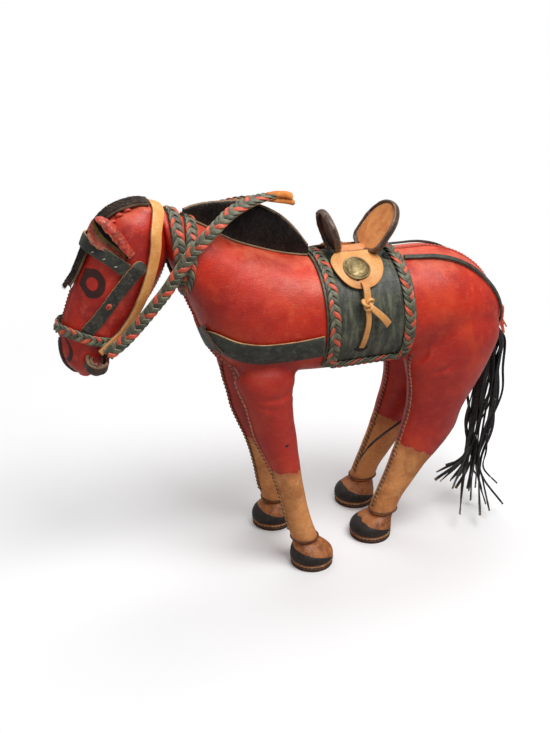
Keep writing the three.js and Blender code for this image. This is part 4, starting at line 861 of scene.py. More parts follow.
def lumps(co, size, seed):
    """Soft hand-stuffed unevenness, from -1 to 1."""
    r = np.random.default_rng(seed)
    total = np.zeros(len(co))
    for _ in range(9):
        way = unit(r.normal(size=3))
        total += np.sin(co @ way * (2 * PI / (size * r.uniform(.7, 1.5))) + r.uniform(0, 2 * PI))
    return total / 4


def crease(co, normal, at, way, length, depth, width, facing):
    """A fold pressed into the skin: at is its middle, way its direction, facing the side it shows on."""
    at, way, facing = (np.asarray(x, float) for x in (at, way, facing))
    way = unit(way)
    d = co - at
    along = d @ way
    down = unit(np.cross(way, unit(facing)))
    across = d @ down + .1 * along ** 2 / length + .5 * np.sin(along * .45 + at[0])
    near = np.exp(-(np.linalg.norm(d, axis=1) / (length * 1.2)) ** 2)
    near = near * smoothstep(0, .5, normal @ unit(facing))
    fold = np.exp(-(across / width) ** 2) - .45 * np.exp(-((across - 1.9 * width) / (1.3 * width)) ** 2)
    return -1.7 * depth * near * np.exp(-(along / length) ** 4) * fold


def make_body():
    blocks = [form_rings(trunk, np.linspace(0, 1, 150) ** 1.1, 120, 0, (3, 3.2))]
    for form in legs.values():
        blocks.append(form_rings(form, np.linspace(.02, 1, 90), 56, 0, (0, 1)))
    co, edges, faces = voxel_skin(blocks, 1.15)
    trees = []
    for points in blocks:
        shell = Piece("shell").grid(points, ring=True, caps=True)
        trees.append(tree_of(np.concatenate(shell.co), [f for b in shell.faces for f in b.tolist()]))

    def gap(tree, picks):
        far = np.full(len(co), 99.0)
        for k in np.nonzero(picks)[0]:
            found = tree.find_nearest(Vector(co[k]), 12)
            if found[0] is not None:
                far[k] = found[3]
        return far
    low = (co[:, 2] < 160) & (co[:, 2] > 90)
    to_trunk = gap(trees[0], low)
    to_leg = np.min([gap(t, low) for t in trees[1:]], axis=0)
    joint = smoothstep(7.5, 1.5, np.maximum(to_trunk, to_leg))
    co = relax(co, edges, np.full(len(co), .5), 3)
    co = relax(co, edges, .55 * joint, 46)
    normal = point_normals(co, faces)
    firm = smoothstep(30, 60, co[:, 2])
    co = co + normal * (lumps(co, 46, 5) * .32 * firm + lumps(co, 15, 8) * .09)[:, None]
    for at, way, length, depth, width, facing in [
            ((-8, -33, 119), (1, 0, .12), 13, .5, 1.5, (0, -1, .1)),
            ((-17, -30, 113.5), (1, 0, -.25), 8, .35, 1.1, (-.2, -1, 0)),
            ((2, -24, 116), (1, .3, .45), 7, .5, 1.2, (.5, -1, 0)),
            ((-8, 33, 119), (1, 0, .12), 13, .5, 1.5, (0, 1, .1)),
            ((86, -33, 131), (.6, 0, 1), 10, .8, 1.6, (-.3, -1, 0)),
            ((98, -36, 122), (1, 0, .5), 10, .5, 1.5, (0, -1, 0)),
            ((86, 33, 131), (.6, 0, 1), 10, .8, 1.6, (-.3, 1, 0)),
            ((139, -16, 128), (.1, .3, 1), 9, .5, 1.5, (1, -.6, 0)),
            ((-34, -18, 128), (.6, -.3, .5), 8, .6, 1.3, (-1, -.6, -.2)),
            ((-34, 18, 128), (.6, .3, .5), 8, .6, 1.3, (-1, .6, -.2))]:
        co = co + normal * crease(co, normal, at, way, length, depth, width, facing)[:, None]
    return relax(co, edges, np.full(len(co), .25), 1), faces


body_co, body_faces = make_body()
body_tree = tree_of(body_co, body_faces)


def split_socks(co, faces):
    """The red skin, and below each dye line the tan leather of the lower leg."""
    mesh = bpy.data.meshes.new("split")
    mesh.from_pydata(co.tolist(), [], faces)
    bm = bmesh.new()
    bm.from_mesh(mesh)
    bpy.data.meshes.remove(mesh)
    layer = bm.faces.layers.int.new("leg")
    planes = [(np.zeros(3), np.zeros(3))]
    for k, (name, stations, _side, _ankle, _hoof, line) in enumerate(LEGS):
        form = legs[name]
        ring = form.at(np.full(24, line), 2 * PI * np.arange(24) / 24)
        middle = ring.mean(0)
        normal = np.linalg.svd(ring - middle)[2][2]
        normal = normal * -np.sign(normal[2])
        if stations is not FRONT_LEG:
            middle = middle + np.array([0, 0, 2.5])
            normal = unit(normal + np.array([-.24, 0, 0]))
        near = [f for f in bm.faces if (f.calc_center_median() - Vector(middle)).length < 24]
        parts = set(near) | {e for f in near for e in f.edges} | {v for f in near for v in f.verts}
        bmesh.ops.bisect_plane(bm, geom=list(parts), dist=1e-5, plane_co=Vector(middle),
                               plane_no=Vector(normal))
        rows = np.linspace(line, 1, 14)
        spine = (form.at(rows, 0) + form.at(rows, PI)) / 2
        for f in bm.faces:
            c = np.array(f.calc_center_median())
            if c[2] < middle[2] + 14 and (c - middle) @ normal > 0:
                row = spine[np.argmin(np.abs(spine[:, 2] - c[2]))]
                if np.hypot(*(row - c)[:2]) < 15:
                    f[layer] = k + 1
        planes.append((middle, normal))
    out = []
    bm.verts.index_update()
    points = np.array([v.co for v in bm.verts])
    for k in range(len(LEGS) + 1):
        own = [[v.index for v in f.verts] for f in bm.faces if f[layer] == k]
        used = np.unique(np.concatenate([np.array(f) for f in own]))
        number = {int(v): i for i, v in enumerate(used)}
        below = (points[used] - planes[k][0]) @ planes[k][1]
        out.append((points[used], [[number[v] for v in f] for f in own], below))
    bm.free()
    return out


def skin_piece(name, co, faces, below, material, slot, replaces, fill):
    mesh = bpy.data.meshes.new(name)
    mesh.from_pydata(((co + OFFSET) * MM).tolist(), [], faces)
    mesh.polygons.foreach_set("use_smooth", np.ones(len(mesh.polygons), bool))
    corner = np.concatenate([np.array(f) for f in faces])
    uv = np.stack([0 * below[corner], below[corner] * MM], -1)
    mesh.uv_layers.new(name="below").data.foreach_set("uv", uv.ravel())
    obj = place(mesh, [material], "horse", slot, replaces)
    return obj


skins = split_socks(body_co, body_faces)
skin_piece("stuffed_body", *skins[0], red, "red_leather",
           ["body_skin_left", "body_skin_right", "body_stuffing"] + [f"{row[0]}_upper" for row in LEGS], .95)
for (name, *_rest), (co, faces, below) in zip(LEGS, skins[1:]):
    skin_piece(f"{name}_stocking", co, faces, below, tan, "tan_leather", [f"{name}_sock"], .95)

# The stuffed head
head_s = np.concatenate([np.linspace(0, .8, 90), np.linspace(.8, 1, 40)[1:]])
head_rings = form_rings(head, head_s, 120, 0, (3, 2.2))
head_flat = head_rings.reshape(-1, 3)
head_bump = lumps(head_flat, 24, 3) * .28 + lumps(head_flat, 9, 4) * .07
head_bump = head_bump.reshape(head_rings.shape[:2])[..., None]
head_rings = head_rings + unit(head_rings - head_rings.mean(1, keepdims=True)) * head_bump
head_piece = Piece("stuffed_head").grid(head_rings, ring=True, caps=True)
head_obj = head_piece.build([head_red], "horse", "red_leather",
                            ["head_skin_left", "head_skin_right", "head_stuffing"])


# Seams
def ridge(piece, ribbon, wide, tall, lift=-.4, mats=(0, 1), ends=(0, None), fade=(1, 1)):
    """Two leather edges sewn together and standing proud, with a groove between them."""
    w = wide / 2
    v = np.array([-w, -w, -w * .8, -w * .35, 0, w * .35, w * .8, w, w])
    h = np.array([lift, tall * .7, tall * .96, tall, tall * .72, tall, tall * .96, tall * .7, lift])
    stop = ribbon.length if ends[1] is None else ends[1]
    u = np.linspace(ends[0], stop, max(int((stop - ends[0]) / .8), 4))
    wave = .16 * np.sin(u * 1.9) * np.sin(u * .53 + 1)
    fall = np.where(fade[0], u - u[0], 9), np.where(fade[1], u[-1] - u, 9)
    fade = np.minimum(1, np.minimum(*fall) / 3 + .15)
    p = ribbon.at(u[:, None], v[None] + wave[:, None], np.where(h > 0, h, lift)[None] * fade[:, None])
    mat = [mats[0], mats[0], mats[1], mats[1], mats[1], mats[1], mats[0], mats[0], mats[0]]
    uv = np.stack(np.broadcast_arrays(u[:, None], v[None]), -1) * MM
    return piece.grid(p, mat, ring=True, caps=True, uv=uv)


def leg_line(form, t, low, high, n=40):
    return form.at(np.linspace(low, high, n), np.full(n, t))


seam = Piece("leg_seams")
seam_runs = []
for name, stations, side, _ankle, _hoof, line_s in LEGS:
    form = legs[name]
    front = stations is FRONT_LEG
    dye = form.at(line_s, 0)[2] + (0 if front else 5)
    top = np.array([[-42, side * 6, 146], [-37.5, side * 12.5, 135.5]]) if front else np.zeros((0, 3))
    seam_runs.append((np.vstack([top, leg_line(form, .22, .21 if front else .15, .96)]), side, dye))
    if not front:
        seam_runs.append((leg_line(form, PI, .14, .935), side, form.at(line_s, PI)[2]))
for line, side, dye in seam_runs:
    band = mesh_ribbon(body_tree, curve(line[::3]), 2.4, 0, soften=4)
    turn_at = float(np.interp(-dye, -band.p[:, 1, 2], band.u))
    ridge(seam, band, 1.4, 1.0, mats=(0, 0), ends=(0, turn_at), fade=(1, 0))
    ridge(seam, band, 1.4, 1.0, mats=(1, 1), ends=(turn_at, None), fade=(0, 1))
    pitch = np.arange(2, band.length - 1.5, 2.9)
    stitches(seam, band, pitch, 0, 2.4, .6, .36, lift=.7, mat=2, slant=PI / 2 - .35)
    stitches(seam, band, pitch + .9, side * 1.15, 1.7, .3, .36, lift=.3, mat=2, slant=.5)
seam.build([seam_lip, cut_edge, thread_dark], "horse", "red_leather")

top_seam = Piece("top_seams")
n = 60
for x0, x1, t in ((78, 148, 0.0),):
    xs = np.linspace(x0, x1, n)
    line = trunk.at(trunk_at_x(xs, 0 * xs + t), 0 * xs + t)
    band = mesh_ribbon(body_tree, line, 3, 0)
    ridge(top_seam, band, 1.9, .8, mats=(0, 0))
    stitches(top_seam, band, np.arange(.8, band.length - .5, 2.6), 0, 2.8, .55, .42, lift=.4, mat=1,
             slant=PI / 2 - .6)
under = trunk.at(np.linspace(.02, .33, n), np.full(n, PI))
band = mesh_ribbon(body_tree, under, 3, 0)
ridge(top_seam, band, 1.9, .8, mats=(0, 0))
stitches(top_seam, band, np.arange(.8, band.length - .5, 2.3), 0, 2.8, .7, .5, lift=.4, mat=1,
         slant=PI / 2 - .6)
belly = trunk.at(np.linspace(.42, .9, n), np.full(n, PI))
band = mesh_ribbon(body_tree, belly, 3, 0)
ridge(top_seam, band, 1.7, .7, mats=(0, 0))
stitches(top_seam, band, np.arange(.8, band.length - .5, 2.5), 0, 2.6, .6, .42, lift=.4, mat=2,
         slant=PI / 2 - .6)
top_seam.build([seam_red, thread_red, thread_dark], "horse", "red_leather")

head_seam = Piece("head_seams")
for places, mats in (([(.47, 0), (.6, 0), (.72, 0)], (0, 0)), ([(.72, 0), (.85, 0), (.999, 0)], (2, 2)),
                     ([(.999, PI), (.9, PI), (.8, PI)], (2, 2)), ([(.8, PI), (.5, PI), (.15, PI)], (0, 0))):
    dark_lip = mats[0] == 2
    band = form_ribbon(head, places, 3.6, .05, .8)
    ridge(head_seam, band, 2.6 if dark_lip else 1.6, 1.35 if dark_lip else .8, mats=mats)
    stitches(head_seam, band, np.arange(1, band.length - 1, 2.2), 0, 2.4, .5, .34, lift=.55, mat=1,
             slant=PI / 2 - .5)
for side in (1, -1):
    band = form_ribbon(head, [(.02, side * .5), (.07, side * .5), (.15, side * .52)], 4, .1, .8)
    stitches(head_seam, band, np.arange(2.5, band.length - 1, 5.4), 0, 4.6, 1.0, 1.15, lift=.2, mat=0,
             slant=side * -.35)
head_seam.build([seam_red, thread_dark, ink_hide], "horse", "red_leather")


# Hooves, soles and fetlock cords
HOOF = [(0, .92, 0), (.2, 1, 0), (.5, .96, .08), (.8, .76, .5), (1, .55, 1)]
HOOF_RADIUS, HOOF_BASE, HOOF_TOP = 13.4, 2.7, 16.6


def hoof_point(ankle, hoof, rise, angle, lift=0.0):
    rows = smooth(HOOF, rise * 1.0)
    rise_z, share, drift = rows[..., 0], rows[..., 1], np.clip(rows[..., 2], 0, 1)
    radius = HOOF_RADIUS * share * (1 + .018 * np.cos(2 * angle)) + lift
    x = hoof[0] + (ankle[0] - hoof[0]) * drift - radius * np.cos(angle)
    y = hoof[1] + (ankle[1] - hoof[1]) * drift - radius * np.sin(angle)
    return np.stack([x, y, HOOF_BASE + (HOOF_TOP - HOOF_BASE) * rise_z + 0 * x], -1)


for name, _stations, side, ankle, hoof, _line in LEGS:
    cup = Piece(f"{name}_hoof_cup")
    rise, angle = np.linspace(0, 1, 30), 2 * PI * np.arange(72) / 72
    gather = .16 * np.sin(angle * 9 + side) * smoothstep(.5, 1, rise)[:, None]
    cup.grid(hoof_point(ankle, hoof, rise[:, None], angle[None], gather), ring=True, caps=True)
    phi = np.linspace(-2.5, 2.5, 90)
    share = 1 - np.abs(phi) / 2.5
    top = .25 + .5 * share ** .6
    k = np.linspace(0, 1, 14)
    lift = .28 * (1 - (2 * k - 1) ** 8) - .06
    patch = hoof_point(ankle, hoof, .18 + (top[:, None] - .18) * k[None], phi[:, None] + 0 * k[None],
                       lift[None] + 0 * phi[:, None])
    cup.grid(patch, 1)
    ring = np.stack([hoof_point(ankle, hoof, np.full(60, .03), 2 * PI * np.arange(60) / 60, .15)])[0]
    tube(cup, ring, .62, 8, 2, loop=True)
    threads = Ribbon(np.repeat(ring[:, None], 3, 1) + np.array([0, 0, 1.0])[None, None]
                     * np.array([-1, 0, 1])[None, :, None],
                     np.repeat(unit(ring - ring.mean(0))[:, None], 3, 1), (-1, 0, 1), True)
    stitches(cup, threads, np.arange(0, threads.length, 2.4), 0, 1.5, .3, .26, lift=.55, mat=3)
    cup.build([hoof_tan, ink_hide, cut_edge, thread_dark], "horse", "tan_leather", [f"{name}_hoof"])
    sole = Piece(f"{name}_sole_layers")
    profile = [(0, 0), (.9, 0), (.985, .12), (1, .5), (.985, .9), (.97, 1.1), (.99, 1.3), (1.0, 1.8),
               (.98, 2.2),
               (.9, 2.4), (0.0, 2.4)]
    rows = []
    for r, z in profile[1:-1]:
        a = 2 * PI * np.arange(72) / 72
        rows.append(np.stack([hoof[0] - 13.3 * r * np.cos(a), hoof[1] - 13.3 * r * np.sin(a), 0 * a + z], -1))
    sole.grid(np.array(rows), ring=True, caps=True)
    sole.build([sole_hide], "horse", "sole_leather", [f"{name}_sole"])
    cord = Piece(f"{name}_fetlock_cord")
    form = legs[name]
    a = np.linspace(0, 2 * PI, 121)[:-1]
    middle = form.at(np.full(120, .985), a, .25)
    out = unit(form.at(np.full(120, .985), a, 2) - form.at(np.full(120, .985), a, 0))
    for strand in (0, PI):
        twist = a * 18 + strand
        outward, upward = (.28 * np.cos(twist))[:, None], (.28 * np.sin(twist))[:, None]
        line = middle + out * outward + np.array([0, 0, 1])[None] * upward
        tube(cord, line, .36, 7, 0, loop=True)
    cord.build([sole_hide], "horse", "sole_leather", [f"{name}_cord"])


# Blanket, its braided edging, breast collar and crupper
BLANKET_X = (20, 77)
DROP = np.radians(138)
turn = np.linspace(-DROP, DROP, 190)
columns = np.linspace(*BLANKET_X, 13)
grid_t, grid_x = np.meshgrid(turn, columns, indexing="ij")
grid_s = trunk_at_x(grid_x, grid_t)
blanket_space = Ribbon(trunk.at(grid_s, grid_t, BLANKET_TOP - 1.3), trunk.frame(grid_s, grid_t)[3],
                       columns - np.mean(BLANKET_X))
blanket = Piece("blanket_hide")
points, flags = section(57, 1.3, .4, 0, 26)
u = np.concatenate([[0, .3], np.linspace(0, blanket_space.length, 170)[1:-1],
                    [blanket_space.length - .3, blanket_space.length]])
corner = np.minimum(u, blanket_space.length - u)
scale = 1 - .07 * (1 - np.clip(corner / 4, 0, 1)) ** 2
blanket_points = blanket_space.at(u[:, None], points[None, :, 0] * scale[:, None],
                                  points[None, :, 1] + 0 * u[:, None])
uv = np.stack(np.broadcast_arrays(u[:, None], points[None, :, 0]), -1) * MM
blanket.grid(blanket_points, np.where(flags == 1, 1, 0), ring=True, caps=True, uv=uv, cap_mat=1)
laid = blanket.build([blanket_hide, dark_edge], "horse", "dark_leather", ["blanket"])

EDGING, EDGE_INSET, CORNER = 7.0, 1.1, 5.0
low_t = DROP - (EDGE_INSET + EDGING / 2) / 35
half_x, half_w = 28.5 - EDGE_INSET - EDGING / 2, low_t * 35
border = []
for cx, cw, start in ((1, 1, 0), (-1, 1, 90), (-1, -1, 180), (1, -1, 270)):
    for a in np.radians(np.linspace(start, start + 90, 7)):
        border.append((48.5 - cx * (half_x - CORNER) - CORNER * np.cos(a),
                       cw * (half_w - CORNER) + CORNER * np.sin(a)))
border = evenly(np.array(border + border[:1]), 1.6)[:-1]
edge_places = np.stack([trunk_at_x(border[:, 0], border[:, 1] / 35), border[:, 1] / 35], -1)
edging = Piece("blanket_braid")
band = form_ribbon(trunk, edge_places, EDGING + .4, BLANKET_TOP, closed=True)
braid(edging, band, EDGING, .15)
edging.build([braid_red, braid_olive, braid_dark], "horse", "braid_leather", ["blanket_edging"])

breast = [trunk.locate(x, z, 1) for x, z in [(19, 150), (4, 148.7), (-14, 148.5), (-30, 150.6), (-42, 155.4)]]
places = breast + [np.array([breast[4][0] - .008, PI])] + [np.array([s, 2 * PI - t]) for s, t in breast[::-1]]
chest_band = form_ribbon(trunk, places, 14, .9, 1.2)
collar = Piece("breast_collar_strap")
strap(collar, chest_band, 13.8, STRAP, 0, mats=(0, 1), spacing=1.2, crown=.25)
collar.build([dark, cut_edge], "horse", "dark_leather", ["breast_collar"])
across = trunk.locate(-44, 157.5, 1)
keeper = Piece("breast_keeper_loop")
band = form_ribbon(trunk, [across + np.array([k * .04, -k * .12]) for k in (-1, 0, 1)], 4, .9 + .3 + STRAP,
                   .8)
strap(keeper, band, 4, STRAP, 0, mats=(0, 1), spacing=.8)
keeper.build([rim_hide, dark_edge], "horse", "dark_leather", ["breast_keeper"])

side_run = [(78, .36), (96, .42), (115, .52), (130, .72), (140, 1.08)]
side_run = [(float(trunk_at_x(x, t)), t) for x, t in side_run] + [(.95, 2)]
places = side_run + [(.95, PI)] + [(s, 2 * PI - t) for s, t in side_run[::-1]]
crupper = Piece("crupper_strap")
band = form_ribbon(trunk, places, 3, .85, 1.2)
strap(crupper, band, 3, STRAP, 0, mats=(0, 0), spacing=1.2, crown=.15)
crupper.build([dark], "horse", "dark_leather", ["crupper"])


# Bands round the neck
def neck_band(name, place_at, width, replaces):
    turn = 2 * PI * np.arange(120) / 120
    band = form_ribbon(trunk, np.stack([place_at(turn), turn], -1), width + .4, .55, closed=True)
    piece = Piece(name)
    strap(piece, band, width, .7, -.2, mats=(3, 3), spacing=1.5)
    braid(piece, band, width, .45)
    piece.build([braid_red, braid_olive, braid_dark, dark], "horse", "braid_leather", [replaces])


neck_band("crown_plait", lambda t: .045 - .022 * (1 - np.cos(t)) / 2, 7, "crown_braid")
neck_band("collar_plait", lambda t: .092 - .03 * (1 - np.cos(t)) / 2, 7, "collar_braid")

# Saddle: seat and flaps in one piece
FLAP_DROP = np.radians(53)
FLAP_TOP = np.radians(12.5)


def saddle_edges(t):
    share = np.minimum(np.abs(t) / FLAP_DROP, 1)
    blend = np.clip(share / .22, 0, 1) ** 2
    down = np.clip((share - .22) / .78, 0, 1)
    reach = .14 + .86 * np.sqrt(np.maximum(1 - down ** 2.2, 0))
    front = np.where(share < .22, 37.5 - 2 * blend, 44.7 - 9.2 * reach)
    rear = np.where(share < .22, 58 - 2 * blend, 44.7 + 11.3 * reach)
    return front, rear


saddle = Piece("saddle_hide")
knob = np.linspace(-1, 1, 111)
turn = FLAP_DROP * .93 * np.sign(knob) * (1 - (1 - np.abs(knob)) ** 1.25)
rows, uvs = [], []
for t in turn:
    front, rear = saddle_edges(t)
    shrink = 1 - .22 * smoothstep(.28, .5, np.abs(t))
    points, flags = section((rear - front) * shrink, 1.4, .4, .1, 20)
    x = (front + rear) / 2 + points[:, 0]
    s = trunk_at_x(x, np.full(len(x), t))
    between = smoothstep(36, 41, x) * smoothstep(61, 55, x)
    rise = 1.8 * np.exp(-(t / .15) ** 2) * between + .25 * np.sin(x * .5 + t * 9) * .3
    base = trunk.at(s, np.full(len(x), t), SADDLE_TOP - 1.9)
    rows.append(base + trunk.frame(s, np.full(len(x), t))[3] * (points[:, 1] + rise)[:, None])
    uvs.append(np.stack([np.full(len(x), t * 38), points[:, 0]], -1) * MM)
saddle.grid(np.array(rows), np.where(flags == 1, 1, 2), ring=True, caps=True, uv=np.array(uvs), cap_mat=1)
for side in (1, -1):
    share = 1 - np.cos(np.linspace(0, PI / 2, 40))
    share = np.concatenate([share * .5, 1 - .5 * share[-2::-1]])
    top = FLAP_TOP + (0 if side > 0 else .1)
    rows, uvs = [], []
    for q in share:
        t = side * (top + (FLAP_DROP - top) * q)
        up = np.clip(1 - q / .34, 0, 1)
        down = np.clip((q - .3) / .7, 0, 1)
        half = (16.2 - 6.4 * up ** 2.2) * np.sqrt(max(1 - down ** 2.05, 0)) ** .92
        half = half * np.sqrt(min(1, .62 + q * 9)) + .35
        points, flags = section(2 * half, 1.2, .35, .12, 22)
        x = 44.7 + points[:, 0]
        s = trunk_at_x(x, np.full(len(x), t))
        bow = .3 * np.sin(x * .35 + side) * np.sin(q * 5) + (1.5 if side > 0 else .3) * (1 - q) ** 4
        base = trunk.at(s, np.full(len(x), t), SADDLE_TOP - .45)
        rows.append(base + trunk.frame(s, np.full(len(x), t))[3] * (points[:, 1] + bow)[:, None])
        uvs.append(np.stack([np.full(len(x), t * 38), points[:, 0]], -1) * MM)
    # The cut edges and a thin strip along the top of each flap take the darker edge leather; the strip is a
    # painted shadow line.
    mats = np.where((flags == 1)[None] | (share[:-1] < .026)[:, None], 1, 0)
    saddle.grid(np.array(rows), mats, ring=True, caps=True, uv=np.array(uvs), cap_mat=1)
saddle.build([natural, flap_edge_and_shadow, seat_hide], "horse", "saddle_leather", ["saddle_seat"])


def paddle_space(width, height, lean, x, foot_wide):
    foot = trunk.at(trunk_at_x(x, 0.0), 0.0, SADDLE_TOP)[2] - 1.2
    c, s = np.cos(np.radians(lean)), np.sin(np.radians(lean))

    def at(r, turn, depth):
        foot_share = np.clip(-np.sin(turn), 0, 1) ** 2
        a = width / 2 * r * np.cos(turn) * (1 + foot_wide * foot_share)
        b = height / 2 * (1 + r * np.sin(turn))
        a, b, d = np.broadcast_arrays(a, b, depth)
        return np.stack([d * c - b * s + x, a, d * s + b * c + foot], -1)
    return at


def paddle(name, size, lean, x, sink, foot_wide, materials, slot, replaces, rim_name=None, rim_replaces=()):
    at = paddle_space(*size, lean, x, foot_wide)
    r = np.linspace(.02, 1, 16)
    turn = 2 * PI * np.arange(96) / 96
    body = Piece(name)
    dip = .8 - .5 * r ** 4
    inner = at(.93 * r[:, None], turn[None],
               (sink - 1.1 + dip * .5)[:, None] + .12 * np.sin(turn * 3)[None] * r[:, None])
    outer = at(.97 * r[::-1][:, None], turn[None], (1.5 + 1.1 * (1 - r[::-1] ** 2))[:, None] + 0 * turn[None])
    both = np.concatenate([inner, outer])
    mat = np.repeat([0] * len(r) + [1] * (len(r) - 1), 96).reshape(-1, 96)
    body.grid(both, mat, ring=True, caps=True)
    rim = body if rim_name is None else Piece(rim_name)
    tilt = 2 * PI * np.arange(14) / 14
    wave = 1 + .05 * np.sin(turn * 7 + 1) + .03 * np.sin(turn * 17)
    edge = 2.3 / (size[0] / 2)
    tube_r = 1 + edge * .55 * np.cos(tilt)[None] * wave[:, None]
    depth = .2 + (1.9 * np.sin(tilt)[None] + .35 * np.sin(2 * tilt)[None]) * wave[:, None]
    rim.grid(at(tube_r, turn[:, None], depth), 1 if rim_name is None else 0, ring=True, loop=True)
    bead = at(1.02 + 0 * turn, turn, 1.95 + 0 * turn)
    tube(rim, bead, .5, 7, 1 if rim_name is None else 0, loop=True)
    body.build(materials, "horse", slot, replaces)
    if rim_name:
        rim.build([rim_hide], "horse", "rim_leather", rim_replaces)


paddle("pommel_paddle", (25, 25.5), 17, 37, 1.5, .12, [panel_brown, rim_hide], "rim_leather", ["pommel"])
paddle("cantle_paddle", (33, 32.5), -36, 55.5, .35, .62, [suede, rim_hide], "saddle_leather", ["cantle"],
       "cantle_roll", ["cantle_rim"])


def flap_frame(x, t, lift):
    s = trunk_at_x(x, t)
    here, along, _round, normal = trunk.frame(s, t)
    side = unit(along - normal * np.dot(along, normal))
    return here + normal * lift, side, np.cross(normal, side), normal


for label, side in (("left", 1), ("right", -1)):
    at, ex, ey, ez = flap_frame(43.2, side * np.radians(33), SADDLE_TOP + .75)
    dome = Piece(f"concho_dome_{label}")
    profile = np.array([(1, 0), (1.02, .25), (1, .6), (.955, .82), (.93, .78), (.9, .95), (.8, 1.45),
                        (.66, 1.98),
                        (.5, 2.42), (.34, 2.74), (.18, 2.93), (.06, 3.0)])
    a = 2 * PI * np.arange(72) / 72
    fine = smooth(profile, np.linspace(0, 1, 44))
    dents = .06 * np.sin(fine[:, :1] * 21 + 2 * np.sin(3 * a)[None]) * np.sin(4 * a + side)[None]
    dents = dents * smoothstep(.92, .7, fine[:, :1])
    r, h = fine[:, :1] * 8.3 + 0 * a[None], fine[:, 1:] + dents
    dome.grid(at + (r * np.cos(a))[..., None] * ex + (r * np.sin(a))[..., None] * ey + h[..., None] * ez,
              ring=True, caps=True)
    dome.build([], "horse", "brass", [f"concho_{label}"])


def trunk_band(marks, width, lift, spacing=.7):
    return form_ribbon(trunk, [(float(trunk_at_x(x, t)), t) for x, t in marks], width, lift, spacing)


for label, side in (("left", 1), ("right", -1)):
    lace = Piece(f"lace_thong_{label}")

    def row(pairs):
        return [(x, side * np.radians(t)) for x, t in pairs]
    lift = SADDLE_TOP + .85
    upper = trunk_band(row([(44.6, 47.5), (44.5, 54), (44.2, 65)]), 4.6,
                       lambda s: lift + 1.2 * np.sin(PI * s) + .9 * s)
    strap(lace, upper, 4.4, 1.2, 0, mats=(0, 1), spacing=.7, crown=.15)
    lower = trunk_band(row([(44, 66.5), (44.4, 82), (42.6, 101), (42, 108.5)]), 3.6,
                       lambda s: (lift + 1) * (1 - s) + (BLANKET_TOP + .1) * s)
    strap(lace, lower, 3.4, 1.2, 0, mats=(0, 1), spacing=.7, crown=.15)
    free = trunk_band(row([(44.5, 67.5), (48, 72.5), (53.5, 80), (57, 86)]), 4,
                      lambda s: lift + .6 + 1.6 * np.sin(PI * s))
    strap(lace, free, 3.8, 1.2, 0, mats=(0, 1), spacing=.7, taper=lambda s: .8 + .3 * s)
    at, ex, ey, ez = flap_frame(44.1, side * np.radians(66.5), lift + 2.3)
    k = np.linspace(0, 2 * PI, 120)[:-1]
    knot = (ex * (np.sin(k) + 2 * np.sin(2 * k))[:, None] * 1.15 + ey
            * (np.cos(k) - 2 * np.cos(2 * k))[:, None] * 1.2
            + ez * (-np.sin(3 * k))[:, None] * 1.25)
    tube(lace, at + knot, 1.25, 10, 0, loop=True, squash=.72)
    # Dark discs of painted shade stand for the slots in each flap that the lace goes through.
    for x, t in ((41.6, 45), (46.6, 46)):
        slot_at, sx, sy, sz = flap_frame(x, side * np.radians(t), SADDLE_TOP + .95)
        b = 2 * PI * np.arange(20) / 20
        hole = slot_at + sx * (1.1 * np.cos(b))[:, None] + sy * (.42 * np.sin(b))[:, None]
        lace.grid(np.array([hole, hole + sz * .14]), 2, ring=True, caps=True)
    # The slot in the blanket: a dark disc of painted shade.
    slot_at, sx, sy, sz = flap_frame(42.2, side * np.radians(109.6), BLANKET_TOP + .25)
    b = 2 * PI * np.arange(24) / 24
    hole_x, hole_y = 4.8 * np.cos(b), 2.1 * np.sin(b) ** 3 + .5 * np.sin(b) - .4
    hole = slot_at + sx * hole_x[:, None] + sy * hole_y[:, None]
    lace.grid(np.array([hole, hole + sz * .12]), 2, ring=True, caps=True)
    # A round hole mark on the blanket, a dark disc of painted shade.
    for spot_x, spot_t, spot_r in ((67.6, 17.5, 3.3),):
        spot_at, sx, sy, sz = flap_frame(spot_x, side * np.radians(spot_t), BLANKET_TOP + .3)
        for r0, r1, mat in ((spot_r, spot_r * .1, 2),):
            rim = [spot_at + sx * (r * np.cos(b))[:, None] + sy * (r * np.sin(b))[:, None] + sz * h
                   for r, h in ((r0, 0), (r0, .16), (r1, .2), (r1, 0))]
            lace.grid(np.array(rim), mat, ring=True, caps=True)
    lace.build([natural, cut_edge, slot_shade, speckled], "horse", "saddle_leather", [f"lace_{label}"])


# Bridle
def on_head(x, z):
    return head.locate(x, z, 1)


def flipped(places):
    return [np.array([s, -t]) for s, t in places]


half = [np.array(p) for p in [(.318, 1.45), (.2926, 1.048), (.2808, .698), (.274, .282)]]
brow_places = half + [np.array([.272, 0])] + flipped(half)[::-1]
brow = form_ribbon(head, brow_places, 7.7, lambda s: STRAP_LIFT + .9 + 2.4 * np.sin(PI * s) ** .8, .8)
piece = Piece("browband_strap")
strap(piece, brow, 7.5, STRAP, 0, mats=(0, 1), spacing=.8, crown=.1)
marks = np.array([.09, .2, .31, .69, .8, .91]) * brow.length
stitches(piece, brow, marks, 1.6, 1.7, .2, .3, lift=STRAP + .02, mat=2, slant=.9)
piece.build([dark, cut_edge, thread_pale], "horse", "dark_leather", ["browband"])

nose = [on_head(-103, 160.5), on_head(-112, 163.5), np.array([.66, .7]), np.array([.66, 0])]
nose_band = form_ribbon(head, nose + flipped(nose[:3])[::-1], 6,
                        lambda s: STRAP_LIFT + 1.8 * np.sin(PI * s) ** 2, .8)
piece = Piece("noseband_plait")
strap(piece, nose_band, 5.2, .6, -.25, mats=(3, 3), spacing=1)
braid(piece, nose_band, 6.2, .3, period=14)
piece.build([braid_red, braid_olive, braid_dark, dark], "horse", "braid_leather", ["noseband"])

